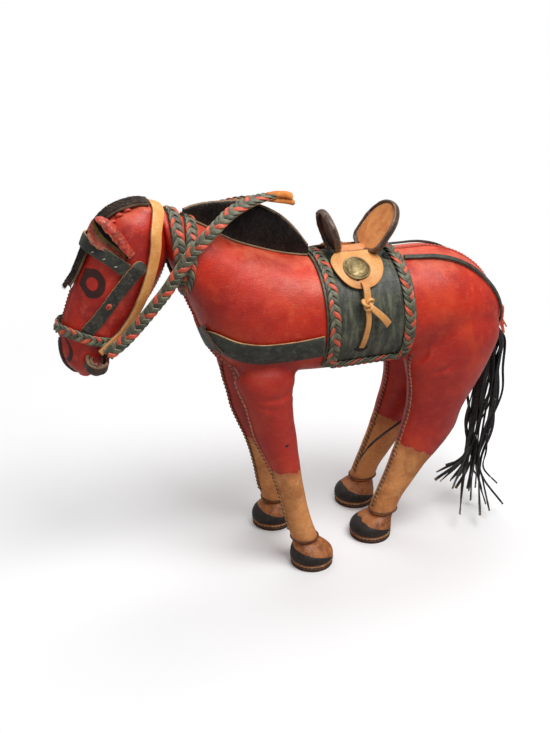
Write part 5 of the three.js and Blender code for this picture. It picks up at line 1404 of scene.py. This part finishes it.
cheek = [np.array(p) for p in [(.262, 1.73), (.324, 1.615), (.4027, 1.519), (.4772, 1.452), (.5657, 1.361),
                               (.632, 1.24), (.662, 1.185)]]


def cheek_lift(s):
    low_end, over_ear = .7 * smoothstep(.86, .97, s), 1.5 * smoothstep(.42, .22, s)
    return STRAP_LIFT - low_end + over_ear + 1.9 * np.exp(-((s - .09) / .06) ** 2)


for label, places in (("left", cheek), ("right", flipped(cheek))):
    band = form_ribbon(head, places, 7, cheek_lift, .8)
    piece = Piece(f"cheek_strap_{label}_hide")
    strap(piece, band, 7.2, STRAP, 0, mats=(0, 1), spacing=.5, crown=.1, wave=.2,
          taper=lambda s: np.sqrt(np.clip(1 - (1 - np.clip(s / .07, 0, 1)) ** 2, .04, 1)))
    middle = band.at(band.length * .6, 0, STRAP + .05)
    face = band.at(band.length * .6, 0, STRAP + 1.05) - middle
    way = unit(band.at(band.length * .6 + 1, 0, STRAP) - middle)
    b = 2 * PI * np.arange(24) / 24
    cross = np.cross(face, way)
    hole = middle + way * (2.0 * np.cos(b))[:, None] + cross * (1.6 * np.sin(b))[:, None]
    inner = middle + way * (1.5 * np.cos(b))[:, None] + cross * (1.15 * np.sin(b))[:, None]
    piece.grid(np.array([hole - face * .2, hole + face * .25, inner + face * .42,
                         middle + (inner - middle) * .3 + face * .5]), 2, ring=True, caps=True)
    piece.build([speckled, cut_edge, braid_red], "horse", "dark_leather", [f"cheek_strap_{label}"])


def head_mark(x, z, lift):
    s, t = head.locate(x, z, 1)
    n = head.frame(s, t)[3]
    return head.at(s, t) + n * lift, n


def poll_mark(t, lift):
    n = trunk.frame(.002, t)[3]
    return trunk.at(.002, t) + n * lift - np.array([3.0, 0, 0]), n


def mirror(marks):
    return [(m[0] * [1, -1, 1], m[1] * [1, -1, 1]) for m in marks]


over_strap = STRAP_LIFT + STRAP + .3 + STRAP / 2
over_braid = STRAP_LIFT + BRAID + .3 + STRAP / 2
near = [head_mark(*p, over_braid) for p in [(-110.5, 156.5), (-104, 161.5), (-97, 167.5)]]
near += [head_mark(*p, over_strap) for p in [(-90, 176.5), (-84.5, 188.5), (-80.6, 199.5), (-78, 208),
                                             (-76.4, 215), (-75.6, 222.5)]]
near += [poll_mark(t, over_strap + .9) for t in (.5,)]
band = open_ribbon(near + [poll_mark(0, over_strap + .9)] + mirror(near)[::-1], 7.2, .9,
                   taper=lambda s: np.minimum(1, .55 + 4 * np.minimum(s, 1 - s)))
piece = Piece("poll_strap_hide")
strap(piece, band, 7.0, STRAP, -STRAP / 2, mats=(0, 1), spacing=.9, crown=.12)
piece.build([strap_tan, cut_edge], "horse", "tan_leather", ["poll_strap"])

reach = [-head.at(*head.locate(-108.5 + dx, 148 + dz, 1))[1]
         for dx, dz in ((0, 0), (-4.4, 0), (0, 4.4), (-3.5, 3.5))]
reach = max(reach) + STRAP_LIFT + .65
for label, side in (("left", 1), ("right", -1)):
    piece = Piece(f"bit_curl_{label}")
    a = np.linspace(-.6, 2 * PI * 1.55, 100)
    grow = 1 - .5 * np.linspace(0, 1, 100) ** 1.4
    axis = unit([.15, -side * .34, .92])
    long_way = unit(np.cross([0, -side * .25, 1], axis)) * side
    short_way = np.cross(axis, long_way) * side
    middle = np.array([-111.6, -side * (reach + 1.6), 149.2])
    long_part, short_part = (8.2 * grow * np.cos(a))[:, None], (6.6 * grow * np.sin(a))[:, None]
    line = middle + long_way * long_part + short_way * short_part
    line = line + axis * (.9 * np.sin(a * .7))[:, None]
    out = unit(line - middle - axis * ((line - middle) @ axis)[:, None])
    band = Ribbon(line[:, None] + axis[None, None] * np.array([-2.5, 0, 2.5])[None, :, None],
                  np.repeat(out[:, None], 3, 1), (-2.5, 0, 2.5))
    strap(piece, band, 6.0, 2.0, -.9, mats=(0, 1), spacing=.6, edge=.45, wave=.3)
    piece.build([rim_hide, hide_edge], "horse", "dark_leather", [f"bit_ring_{label}"])


# Reins: braided straps from the bit up the neck and over the mane
MANE_TOP = [(-55, 230.5), (-47, 232.5), (-34, 233), (-22, 232.3), (-10, 228.8), (2, 222), (11, 213.5),
            (20, 201.5)]


def mane_top_at(x):
    return np.interp(x, [p[0] for p in MANE_TOP], [p[1] for p in MANE_TOP])


def rein_marks(extra):
    side = trunk.at(*trunk.locate(-58, 200, 1))[1] - STRAP_LIFT - BRAID - 1.6
    crest = mane_top_at(-13) + .6 + 1.1 + extra
    up = [(-106, 2.6, 155.2, (-.25, -1, .1)), (-97, 2.2, 161.6, (-.2, -1, .1)),
          (-88, 1.4, 170.6, (-.15, -1, .1)),
          (-79.3, .8, 180.2, (-.1, -1, .1)), (-71, 0, 190, (0, -1, .1)), (-64, -.4, 200, (0, -1, .15)),
          (-57, -.4, 209, (0, -1, .25)), (-50.5, 0, 215.5, (.05, -1, .45)),
          (-41.5, 2.4, 222.6, (.1, -1, .75))]
    over = [(-31, -13.2, 4.8, (.15, -.9, 1)), (-18.5, -8, .9, (.1, -.6, 1.2)), (-6, -3, 0, (0, -.2, 1.2)),
            (4.5, 1.5, .8, (.15, .2, 1.2))]
    marks = [(np.array([x, side + inward, z]), unit(f)) for x, inward, z, f in up]
    return marks + [(np.array([x, y, crest - fall]), unit(f)) for x, y, fall, f in over]


for label, side, extra in (("left", 1, 2.5), ("right", -1, 0)):
    marks = rein_marks(extra)
    band = open_ribbon(marks if side > 0 else mirror(marks), 8, .9)
    piece = Piece(f"rein_plait_{label}")
    strap(piece, band, 7.2, .8, -1.3, mats=(3, 4), spacing=1)
    braid(piece, band, 7.6, -.75, ends=(0, band.length - 1))
    crest = marks[-1][0]
    for low, far, fat in ((1.0, 7, 2.5), (-2.6, 9, 2.3)):
        if side > 0:
            k = np.linspace(0, 1, 26)
            fold = smooth(np.array([crest + d for d in ([-10, -3, low + .6], [-4, -4.6, low + .5],
                                                        [far * .3, -5, low - .6],
                                                        [far * .75, -4, low - 2.6])]), k)
            tube(piece, fold, fat * np.sqrt(np.clip(1 - (1.06 - 1.3 * k) ** 2 * .78, .02, 1)
                                            * np.clip((1.01 - k) / .16, 0, 1)),
                 14, 5, squash=.66, face=(.2, -.7, 1))
    piece.build([braid_red, braid_olive, braid_dark, dark, cut_edge, suede], "horse", "braid_leather",
                [f"rein_{label}"])


# Hair: hide strips with thousands of short hairs
def hairs(piece, roots, ways, length, bend, width, mat=0, parts=4):
    """Tapered three-sided hairs that start at roots, go along ways and curve towards bend."""
    roots, ways, bend = (np.asarray(x, float) for x in (roots, ways, bend))
    k = np.linspace(0, 1, parts)[None, :, None]
    length = np.asarray(length)[:, None, None]
    line = roots[:, None] + unit(ways)[:, None] * length * k + bend[:, None] * length * k ** 2
    travel = unit(unit(ways)[:, None] + 2 * bend[:, None] * k)
    side = unit(np.cross(travel, np.array([.3, .9, .2])))
    up = np.cross(side, travel)
    size = np.asarray(width)[:, None, None] * (1 - .82 * k ** 1.4)
    rings = np.stack([line + size * (side * np.cos(a) + up * np.sin(a)) for a in (0, 2.1, 4.2)], 2)
    count, parts_, _three, _xyz = rings.shape
    base = (np.arange(count)[:, None, None] * parts_ + np.arange(parts_ - 1)[None, :, None]) * 3
    j = np.arange(3)[None, None]
    quads = np.stack([base + j, base + (j + 1) % 3, base + 3 + (j + 1) % 3, base + 3 + j], -1).reshape(-1, 4)
    piece.add(rings, quads, mat)
    tip = (np.arange(count) * parts_ + parts_ - 1) * 3
    piece.faces.append(np.stack([tip, tip + 1, tip + 2], -1) + piece.count - rings[..., 0].size)
    piece.mats.append(np.full(count, mat))
    return piece


hair_black = leather("hair_black", (44, 36, 32), (19, 15, 14), (104, 88, 76), patch=9, mottle=.7, grain=.3,
                     rough=(.34, .5), bump=.02, scuff=0, edge=0)
hair_brown = leather("hair_brown", (84, 66, 56), (52, 40, 34), (126, 104, 90), patch=6, mottle=1.2, grain=.3,
                     rough=(.5, .7), bump=.02, scuff=0, edge=0)
mane = Piece("mane_hide")
count = 90
xs = np.linspace(-54.5, 20, count)
top_z = smooth(MANE_TOP, np.linspace(0, 1, 300))
top_z = np.interp(xs, top_z[:, 0], top_z[:, 1])
foot = trunk.at(trunk_at_x(np.clip(xs, -66, 19), 0 * xs), 0 * xs, .3)[:, 2]
rows = []
for side in (1, -1):
    for k in (np.linspace(0, 1, 10) if side > 0 else np.linspace(1, 0, 10)):
        half = 1.25 - .25 * k
        rows.append(np.stack([xs, 0 * xs - side * half, foot + (top_z - .8 - foot) * k], -1))
mane.grid(np.array(rows).transpose(1, 0, 2), 0, ring=True, caps=True)
flesh = Piece("mane_flesh")
line = np.stack([xs, 0 * xs + .3, top_z - 1.0], -1)
tube(flesh, line, 1.35, 8, 0, squash=.8)
foot_line = np.stack([xs, 0 * xs - 1.5, foot + .55], -1)
tube(flesh, foot_line, .6, 6, 0)
tube(flesh, foot_line * [1, -1, 1], .6, 6, 0)
for side in (1, -1):
    number = 5200
    x = rng.uniform(-55, 20.5, number)
    k = rng.uniform(0, 1, number) ** .8
    tall = np.interp(x, xs, top_z) - np.interp(x, xs, foot)
    z = np.interp(x, xs, foot) + tall * k * .82
    roots = np.stack([x, -side * (1.15 + .1 * rng.uniform(0, 1, number)), z], -1)
    lean = .12 * np.sin(x * .9) + .1 * np.sin(x * .37 + 1)
    ways = np.stack([rng.normal(0, .1, number) + .1 + lean - .42 * smoothstep(-20, 8, x),
                     -side * rng.uniform(.04, .14, number), np.ones(number)], -1)
    bend = np.stack([rng.normal(0, .05, number), side * rng.uniform(.0, .12, number),
                     rng.normal(0, .02, number)], -1)
    length = np.minimum(rng.uniform(7, 12, number), (np.interp(x, xs, top_z) - .2 - z))
    hairs(mane, roots, ways, length, bend, rng.uniform(.1, .2, number), 0)
mane.build([hair_black], "horse", "hair_hide", ["mane"], recalc=False)
flesh.build([hide_edge], "horse", "hair_hide")


def forelock_mark(s, lift):
    n = head.frame(s, 0)[3]
    return head.at(s, 0) + n * (lift + .8), n


poll = head.at(0, 0)
over = poll[2] + STRAP_LIFT + .3 + .8
marks = [(np.array([poll[0] + 9, 0, over - .3]), np.array([0, 0, 1.0])),
         (np.array([poll[0], 0, over]), unit([-.1, 0, 1]))]
marks += [forelock_mark(s, lift) for s, lift in [(.1, .75), (.2, .45), (.31, .45), (.41, .6), (.465, 2.2)]]
band = open_ribbon(marks, 13, .8)
lock = Piece("forelock_hide")
strap(lock, band, 12.6, 1.5, -.8, mats=(0, 1), spacing=.9, crown=.5,
      taper=lambda s: 1 - .35 * smoothstep(.55, 1, s))
number = 5200
u = rng.uniform(0, band.length, number)
v = rng.uniform(-5.9, 5.9, number) * (1 - .35 * smoothstep(.55, 1, u / band.length))
roots = band.at(u, v, .95 + .45 * (1 - (v / 6.4) ** 2))
ahead = band.at(np.minimum(u + 1.5, band.length + 1), v * 1.03, 1.05 + .45 * (1 - (v / 6.4) ** 2)) - roots
hairs(lock, roots, ahead + rng.normal(0, .06, (number, 3)), rng.uniform(2.6, 4.2, number),
      rng.normal(0, .02, (number, 3)),
      rng.uniform(.1, .17, number), 2)
lock.build([hair_brown, hide_edge, hair_brown], "horse", "hair_hide", ["forelock"], recalc=False)


# Ears: rolled leaves, open along the front
EAR = [(.2, 3.4), (3.2, 3.6), (5.2, 1.2), (4.4, -2.2), (0, -3.6), (-4.5, -2.9), (-8, -1.9), (-10.6, -1.2)]


def ear(label, side, tip, spread):
    base, tip = np.array([-92.3, -17, 213.6]), np.array(tip, float)
    axis = unit(tip - base)
    outward = unit(np.array([-.3, -.86, .42]) - axis * (np.array([-.3, -.86, .42]) @ axis))
    across = np.cross(axis, outward)
    u = np.linspace(-.1, 1, 60)[:, None]
    j = np.linspace(0, 1, 70)[None]
    width = smooth(np.array([[.7], [.86], [.96], [1.0], [.82], [.4]]), np.clip(u, 0, 1))[..., 0]
    width = width * np.sqrt(np.clip((1.012 - u) / .08, 0, 1))
    middle = smooth(EAR, j[0])[None]
    slope = unit(np.gradient(middle, axis=1))
    turned = np.stack([-slope[..., 1], slope[..., 0]], -1)
    lip, lobe = np.exp(-(j / .13) ** 2), np.exp(-((1 - j) / .12) ** 2)
    thick = 1.4 + lip * (1.5 + .3 * np.sin(u * 15) + .16 * np.sin(u * 41 + 1)) + .5 * lobe
    lip_waves = .28 * np.sin(u * 23 + 2) + .14 * np.sin(u * 57)
    ragged = lip * lip_waves + lobe * (.5 * np.sin(u * 14) + .25 * np.sin(u * 37))

    def leaf(share):
        q = middle + turned * (thick * share / np.maximum(width, .3))[..., None]
        c, o = q[..., 0] + ragged, q[..., 1]
        c = np.where(c < 0, c * (.42 + (spread - .42) * smoothstep(.05, .6, u)), c)
        p = base + outward * 1.5 + axis * (u * np.linalg.norm(tip - base))[..., None]
        p = p + across * (c * width)[..., None] + outward * (o * width)[..., None]
        return p * [1, side, 1]
    one, two = leaf(.5), leaf(-.5)

    def cap(a, b, inward):
        return (a + b) / 2 + unit((a + b) / 2 - inward) * np.linalg.norm(a - b, axis=-1, keepdims=True) * .42
    end, start = cap(one[:, -1:], two[:, -1:], one[:, -4:-3]), cap(one[:, :1], two[:, :1], one[:, 3:4])
    loop = np.concatenate([one, end, two[:, ::-1], start], 1)
    inner = two if np.dot(two[20, 35] - one[20, 35], outward * [1, side, 1]) > 0 else one
    k = np.linspace(0, 1, 70)[:-1]
    # Inside the roll: near-black painted shade in the slit, then olive flesh, an orange streak and pink
    # flesh.
    inside = np.where(k < .66, 3, np.where(k < .75, 1, np.where((k > .83) & (k < .88), 4, 2)))
    outside = np.where(k < .3, 6, 0)
    first, second = (inside, outside) if inner is one else (outside, inside)
    mats = np.concatenate([first, [2, 2], second[::-1], [6, 6]])
    piece = Piece(f"ear_leaf_{label}")
    piece.grid(loop, mats[:loop.shape[1]], ring=True, caps=True, cap_mat=0)
    piece.build([head_red, olive_flesh, pink_flesh, slot_shade, braid_red, seam_red, ear_lip], "horse",
                "red_leather", [f"ear_{label}"])


ear("left", 1, (-107.2, -11.6, 234), 1)
ear("right", -1, (-98, -19.6, 226), .5)

# Tail: the dock wrap, the bundle of cut strips and the strip that has swung forward
DOCK_X, DOCK_FOOT, DOCK_LENGTH = 152.8, 131, 16
dock = Piece("dock_wrap")
a = 2 * PI * np.arange(64) / 64
k = np.linspace(0, 1, 40)
radius = 4.7 * (.56 + .44 * smoothstep(0, .26, k) * smoothstep(1, .74, k))
wraps = .16 * np.abs(np.sin(k[:, None] * PI * 5 + a[None] * .5))
r = radius[:, None] - wraps + .08 * np.sin(a * 3)[None]
dock.grid(np.stack([DOCK_X + r * np.cos(a), r * np.sin(a), DOCK_FOOT + DOCK_LENGTH * k[:, None] + 0 * r],
                   -1), ring=True, caps=True)
for turn_, drop, size in ((2.6, 4.5, 4.5), (3.7, 3.6, 11), (4.35, 4.2, 10), (5.1, 3.6, 12), (5.8, 4, 8),
                          (1.4, 4.5, 4.5), (.3, 4, 8)):
    way = np.array([np.cos(turn_), np.sin(turn_), 0])
    at = np.array([DOCK_X, 0, DOCK_FOOT + drop])
    tassel = open_ribbon([(at + way * 4, way), (at + way * 5.5 - [0, 0, size * .3], way),
                          (at + way * 7 - [0, 0, size * .6], way)], 3.8, .5)
    strap(dock, tassel, 3.7, .8, -.4, mats=(0, 1), spacing=.5, taper=lambda s: 1 - .5 * s)
dock.build([braid_red, cut_edge], "tail_root", "red_leather", ["tail_dock"])

STRIPS, GOLDEN = 22, PI * (3 - 5 ** .5)
STRIP_GAP = 1.3
FALLS = [0, .09, .24, .42, .6, .76, .88, 1]
SPREAD_X = [.3 * 6.3, 8.6, 9.5, 12.5, 9, 5, 11, 27]
SPREAD_Y = [.3 * 6.3, 5, 6.5, 8, 7, 5, 11, 31]
DRIFT_X = [0, .2, -1.5, -4.5, -8, -10.5, -12.5, -17]
DRIFT_Y = [0, 0, 0, -.6, -2, -3.4, -5.2, -9]


def fan_strip(index, count, root_z, width):
    turn_ = index * GOLDEN
    spread = np.sqrt((index + .5) / count)
    r = np.random.default_rng(40 + index)
    tip = np.array([-17 + 27 * np.cos(turn_) * spread, -9 + 31 * np.sin(turn_) * spread])
    reach = 143.2 - 15 * ((index * 7) % 5) / 4
    tip_z = 147 - np.sqrt(reach ** 2 - tip[0] ** 2 - tip[1] ** 2)
    fall = root_z - tip_z
    swirl = r.uniform(-1.6, 1.6) * np.sin(PI * np.array(FALLS))
    stray = r.normal(0, 1, (8, 2)) * np.array([0, .5, 1.5, 2.1, 2, 1.3, 1, 0])[:, None]
    marks = []
    for k, f in enumerate(FALLS):
        c, d = np.cos(turn_ + swirl[k]) * spread, np.sin(turn_ + swirl[k]) * spread
        x, y = DRIFT_X[k] + SPREAD_X[k] * c + stray[k, 0], DRIFT_Y[k] + SPREAD_Y[k] * d + stray[k, 1]
        if k == 7:
            x, y = tip
        x = min(x, 9.3)
        if 0 < k < 4:
            x = max(x, (-5.4, -7.4, -11)[k - 1])
        w = turn_ + 2.4 * f * r.uniform(-1, 1) + r.uniform(-.5, .5)
        marks.append((np.array([DOCK_X + x, y, root_z - f * fall]), np.array([np.cos(w), np.sin(w), .2])))
    return open_ribbon(marks, width, 1.2)


tail = Piece("tail_strip_bundle")
for index in range(STRIPS):
    width = 2.6 + .8 * np.sin(index * 2.3)
    band = fan_strip(index, STRIPS, DOCK_FOOT - STRIP_GAP, width)
    strap(tail, band, width, .8, -.4, edge=.25, mats=(0, 0), spacing=1.6, taper=lambda s: 1 - .4 * s,
          ends=(0, band.length - 2.2))
    strap(tail, band, width * .62, .7, -.35, edge=.2, mats=(1, 1), spacing=.7, ends=(band.length - 2.3, None))
root_rings = []
for r, z in ((1.2, -.05), (1.9, -.9), (2.5, -2.2), (2.6, -3.4), (1.6, -4.2)):
    b = 2 * PI * np.arange(32) / 32
    root_rings.append(np.stack([DOCK_X + r * np.cos(b), r * np.sin(b), DOCK_FOOT - STRIP_GAP + z + 0 * b],
                               -1))
tail.grid(np.array(root_rings), 0, ring=True, caps=True)
tail.build([tail_hide, tail_cut], "tail_fan", "tail_leather", ["tail_strips"])

way = np.array([np.cos(np.radians(135)), np.sin(np.radians(135)), 0])
start = np.array([DOCK_X, 0, DOCK_FOOT + 5.5]) + way * (4.2 + .3 + .55)
marks = [(start, way)] + [(np.array(p, float), unit([.7, 0, .7])) for p in
                          [(147.5, 3.8, 127), (140, 2.5, 111), (124, 4, 88), (92, 7, 67), (72, 7.5, 54),
                           (61, 7, 42)]]
stray = Piece("tail_stray_strip")
band = open_ribbon(marks, 2.8, 1.2)
strap(stray, band, 2.8, .8, -.4, edge=.25, mats=(0, 0), spacing=1.6, taper=lambda s: 1 - .4 * s,
      ends=(0, band.length - 2))
strap(stray, band, 1.8, .7, -.35, edge=.2, mats=(1, 1), spacing=.7, ends=(band.length - 2.1, None))
stray.build([tail_hide, tail_cut], "tail_root", "tail_leather", ["tail_strip_forward"])


# Brass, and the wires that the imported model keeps
def metal(name, base, deep, pale, rough, size, bump):
    m = Shader(name)
    colour = m.mix(m.step(m.noise(size * 3, 4, .6), .35, .65), rgb(*base), rgb(*deep))
    colour = m.mix(m.math("MULTIPLY", m.step(m.noise(size * .5, 6, .7), .55, .75), .6), colour, rgb(*pale))
    shine = m.step(m.noise(size, 5, .65), .3, .7, rough)
    height = m.math("ADD", m.noise(size * 1.6, 2), m.math("MULTIPLY", m.noise(size * .15, 4), .12))
    return m.finish(colour, shine, height, bump, Metallic=1.0)


brass = metal("brass_dome", (170, 150, 108), (118, 102, 70), (206, 192, 154), (.36, .54), 3.4, .07)
wire = metal("wire_steel", (150, 152, 154), (112, 114, 118), (190, 190, 190), (.35, .55), 2, .04)
for label in ("left", "right"):
    bpy.data.objects[f"concho_dome_{label}"].data.materials.append(brass)
for node in ("front_leg_wire", "hind_leg_wire"):
    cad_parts[node].data.materials.clear()
    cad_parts[node].data.materials.append(wire)

# Floor, light and camera
def floor_material():
    """Pale paper that is darker for bounced light and gives way to the white backdrop far out."""
    m = Shader("floor_paper")
    shade = m.mix(m.noise(160, 3), rgb(249, 249, 250), rgb(253, 253, 253))
    path = m.node("ShaderNodeLightPath")
    shade = m.mix(path.outputs["Is Camera Ray"], rgb(176, 172, 170), shade)
    m.finish(shade, m.step(m.noise(30, 3), .3, .7, (.85, .95)), m.noise(1.2, 3), .01)
    far = m.node("ShaderNodeVectorMath", operation="LENGTH")
    m.link(m.place, far.inputs[0])
    clear, both = m.node("ShaderNodeBsdfTransparent"), m.node("ShaderNodeMixShader")
    m.link(m.step(far.outputs["Value"], .16, .52), both.inputs[0])
    m.link(m.bsdf.outputs[0], both.inputs[1])
    m.link(clear.outputs[0], both.inputs[2])
    out = next(n for n in m.tree.nodes if n.type == "OUTPUT_MATERIAL")
    m.link(both.outputs[0], out.inputs[0])
    return m.mat


floor = bpy.data.meshes.new("floor")
around = 2 * PI * np.arange(64) / 64
rings = [(r * np.cos(a), r * np.sin(a), 0) for r in (.1, .25, .4, .55) for a in around]
quads = [[64 * k + j, 64 * k + 64 + j, 64 * k + 64 + (j + 1) % 64, 64 * k + (j + 1) % 64]
         for k in range(3) for j in range(64)]
floor.from_pydata(rings, [], quads + [list(range(64))])
floor.materials.append(floor_material())
floor_obj = bpy.data.objects.new("floor", floor)
bpy.context.scene.collection.objects.link(floor_obj)

world = bpy.data.worlds.new("studio")
world.use_nodes = True
tree = world.node_tree
tree.nodes.clear()
out = tree.nodes.new("ShaderNodeOutputWorld")
path = tree.nodes.new("ShaderNodeLightPath")
kinds = ("ShaderNodeBackground", "ShaderNodeBackground", "ShaderNodeMixShader")
soft, white, both = (tree.nodes.new(kind) for kind in kinds)
soft.inputs[0].default_value, soft.inputs[1].default_value = (1, 1, 1, 1), .36
white.inputs[0].default_value, white.inputs[1].default_value = (1, 1, 1, 1), 1
seen = tree.nodes.new("ShaderNodeMath")
seen.operation = "MAXIMUM"
tree.links.new(path.outputs["Is Camera Ray"], seen.inputs[0])
tree.links.new(path.outputs["Is Transmission Ray"], seen.inputs[1])
tree.links.new(seen.outputs[0], both.inputs[0])
tree.links.new(soft.outputs[0], both.inputs[1])
tree.links.new(white.outputs[0], both.inputs[2])
tree.links.new(both.outputs[0], out.inputs[0])
bpy.context.scene.world = world


def softbox(name, at, aim, size, power):
    light = bpy.data.lights.new(name, "AREA")
    light.shape, light.size, light.size_y, light.energy = "RECTANGLE", size[0], size[1], power
    obj = bpy.data.objects.new(name, light)
    obj.location = at
    obj.rotation_mode = "QUATERNION"
    obj.rotation_quaternion = (Vector(aim) - Vector(at)).to_track_quat("-Z", "Y")
    bpy.context.scene.collection.objects.link(obj)


softbox("key_box", (.25, -.42, 1.1), (0, 0, .1), (.75, .6), 9.9)
softbox("rear_box", (.1, .5, 1.15), (0, 0, .1), (.9, .6), 4.8)

back = Vector((np.sin(np.radians(-19)) * np.cos(np.radians(25)),
               -np.cos(np.radians(-19)) * np.cos(np.radians(25)),
               np.sin(np.radians(25))))
target = Vector(((0 + OFFSET[0]) * MM, (0 + OFFSET[1]) * MM, .124))
lens = bpy.data.cameras.new("camera")
lens.sensor_width, lens.lens = 36, 36 * 1134 / 733
camera = bpy.data.objects.new("camera", lens)
camera.location = target + back * .7
camera.rotation_mode = "QUATERNION"
camera.rotation_quaternion = (-back).to_track_quat("-Z", "Y")
bpy.context.scene.collection.objects.link(camera)
bpy.context.scene.camera = camera
bpy.context.scene.view_settings.view_transform = "Standard"
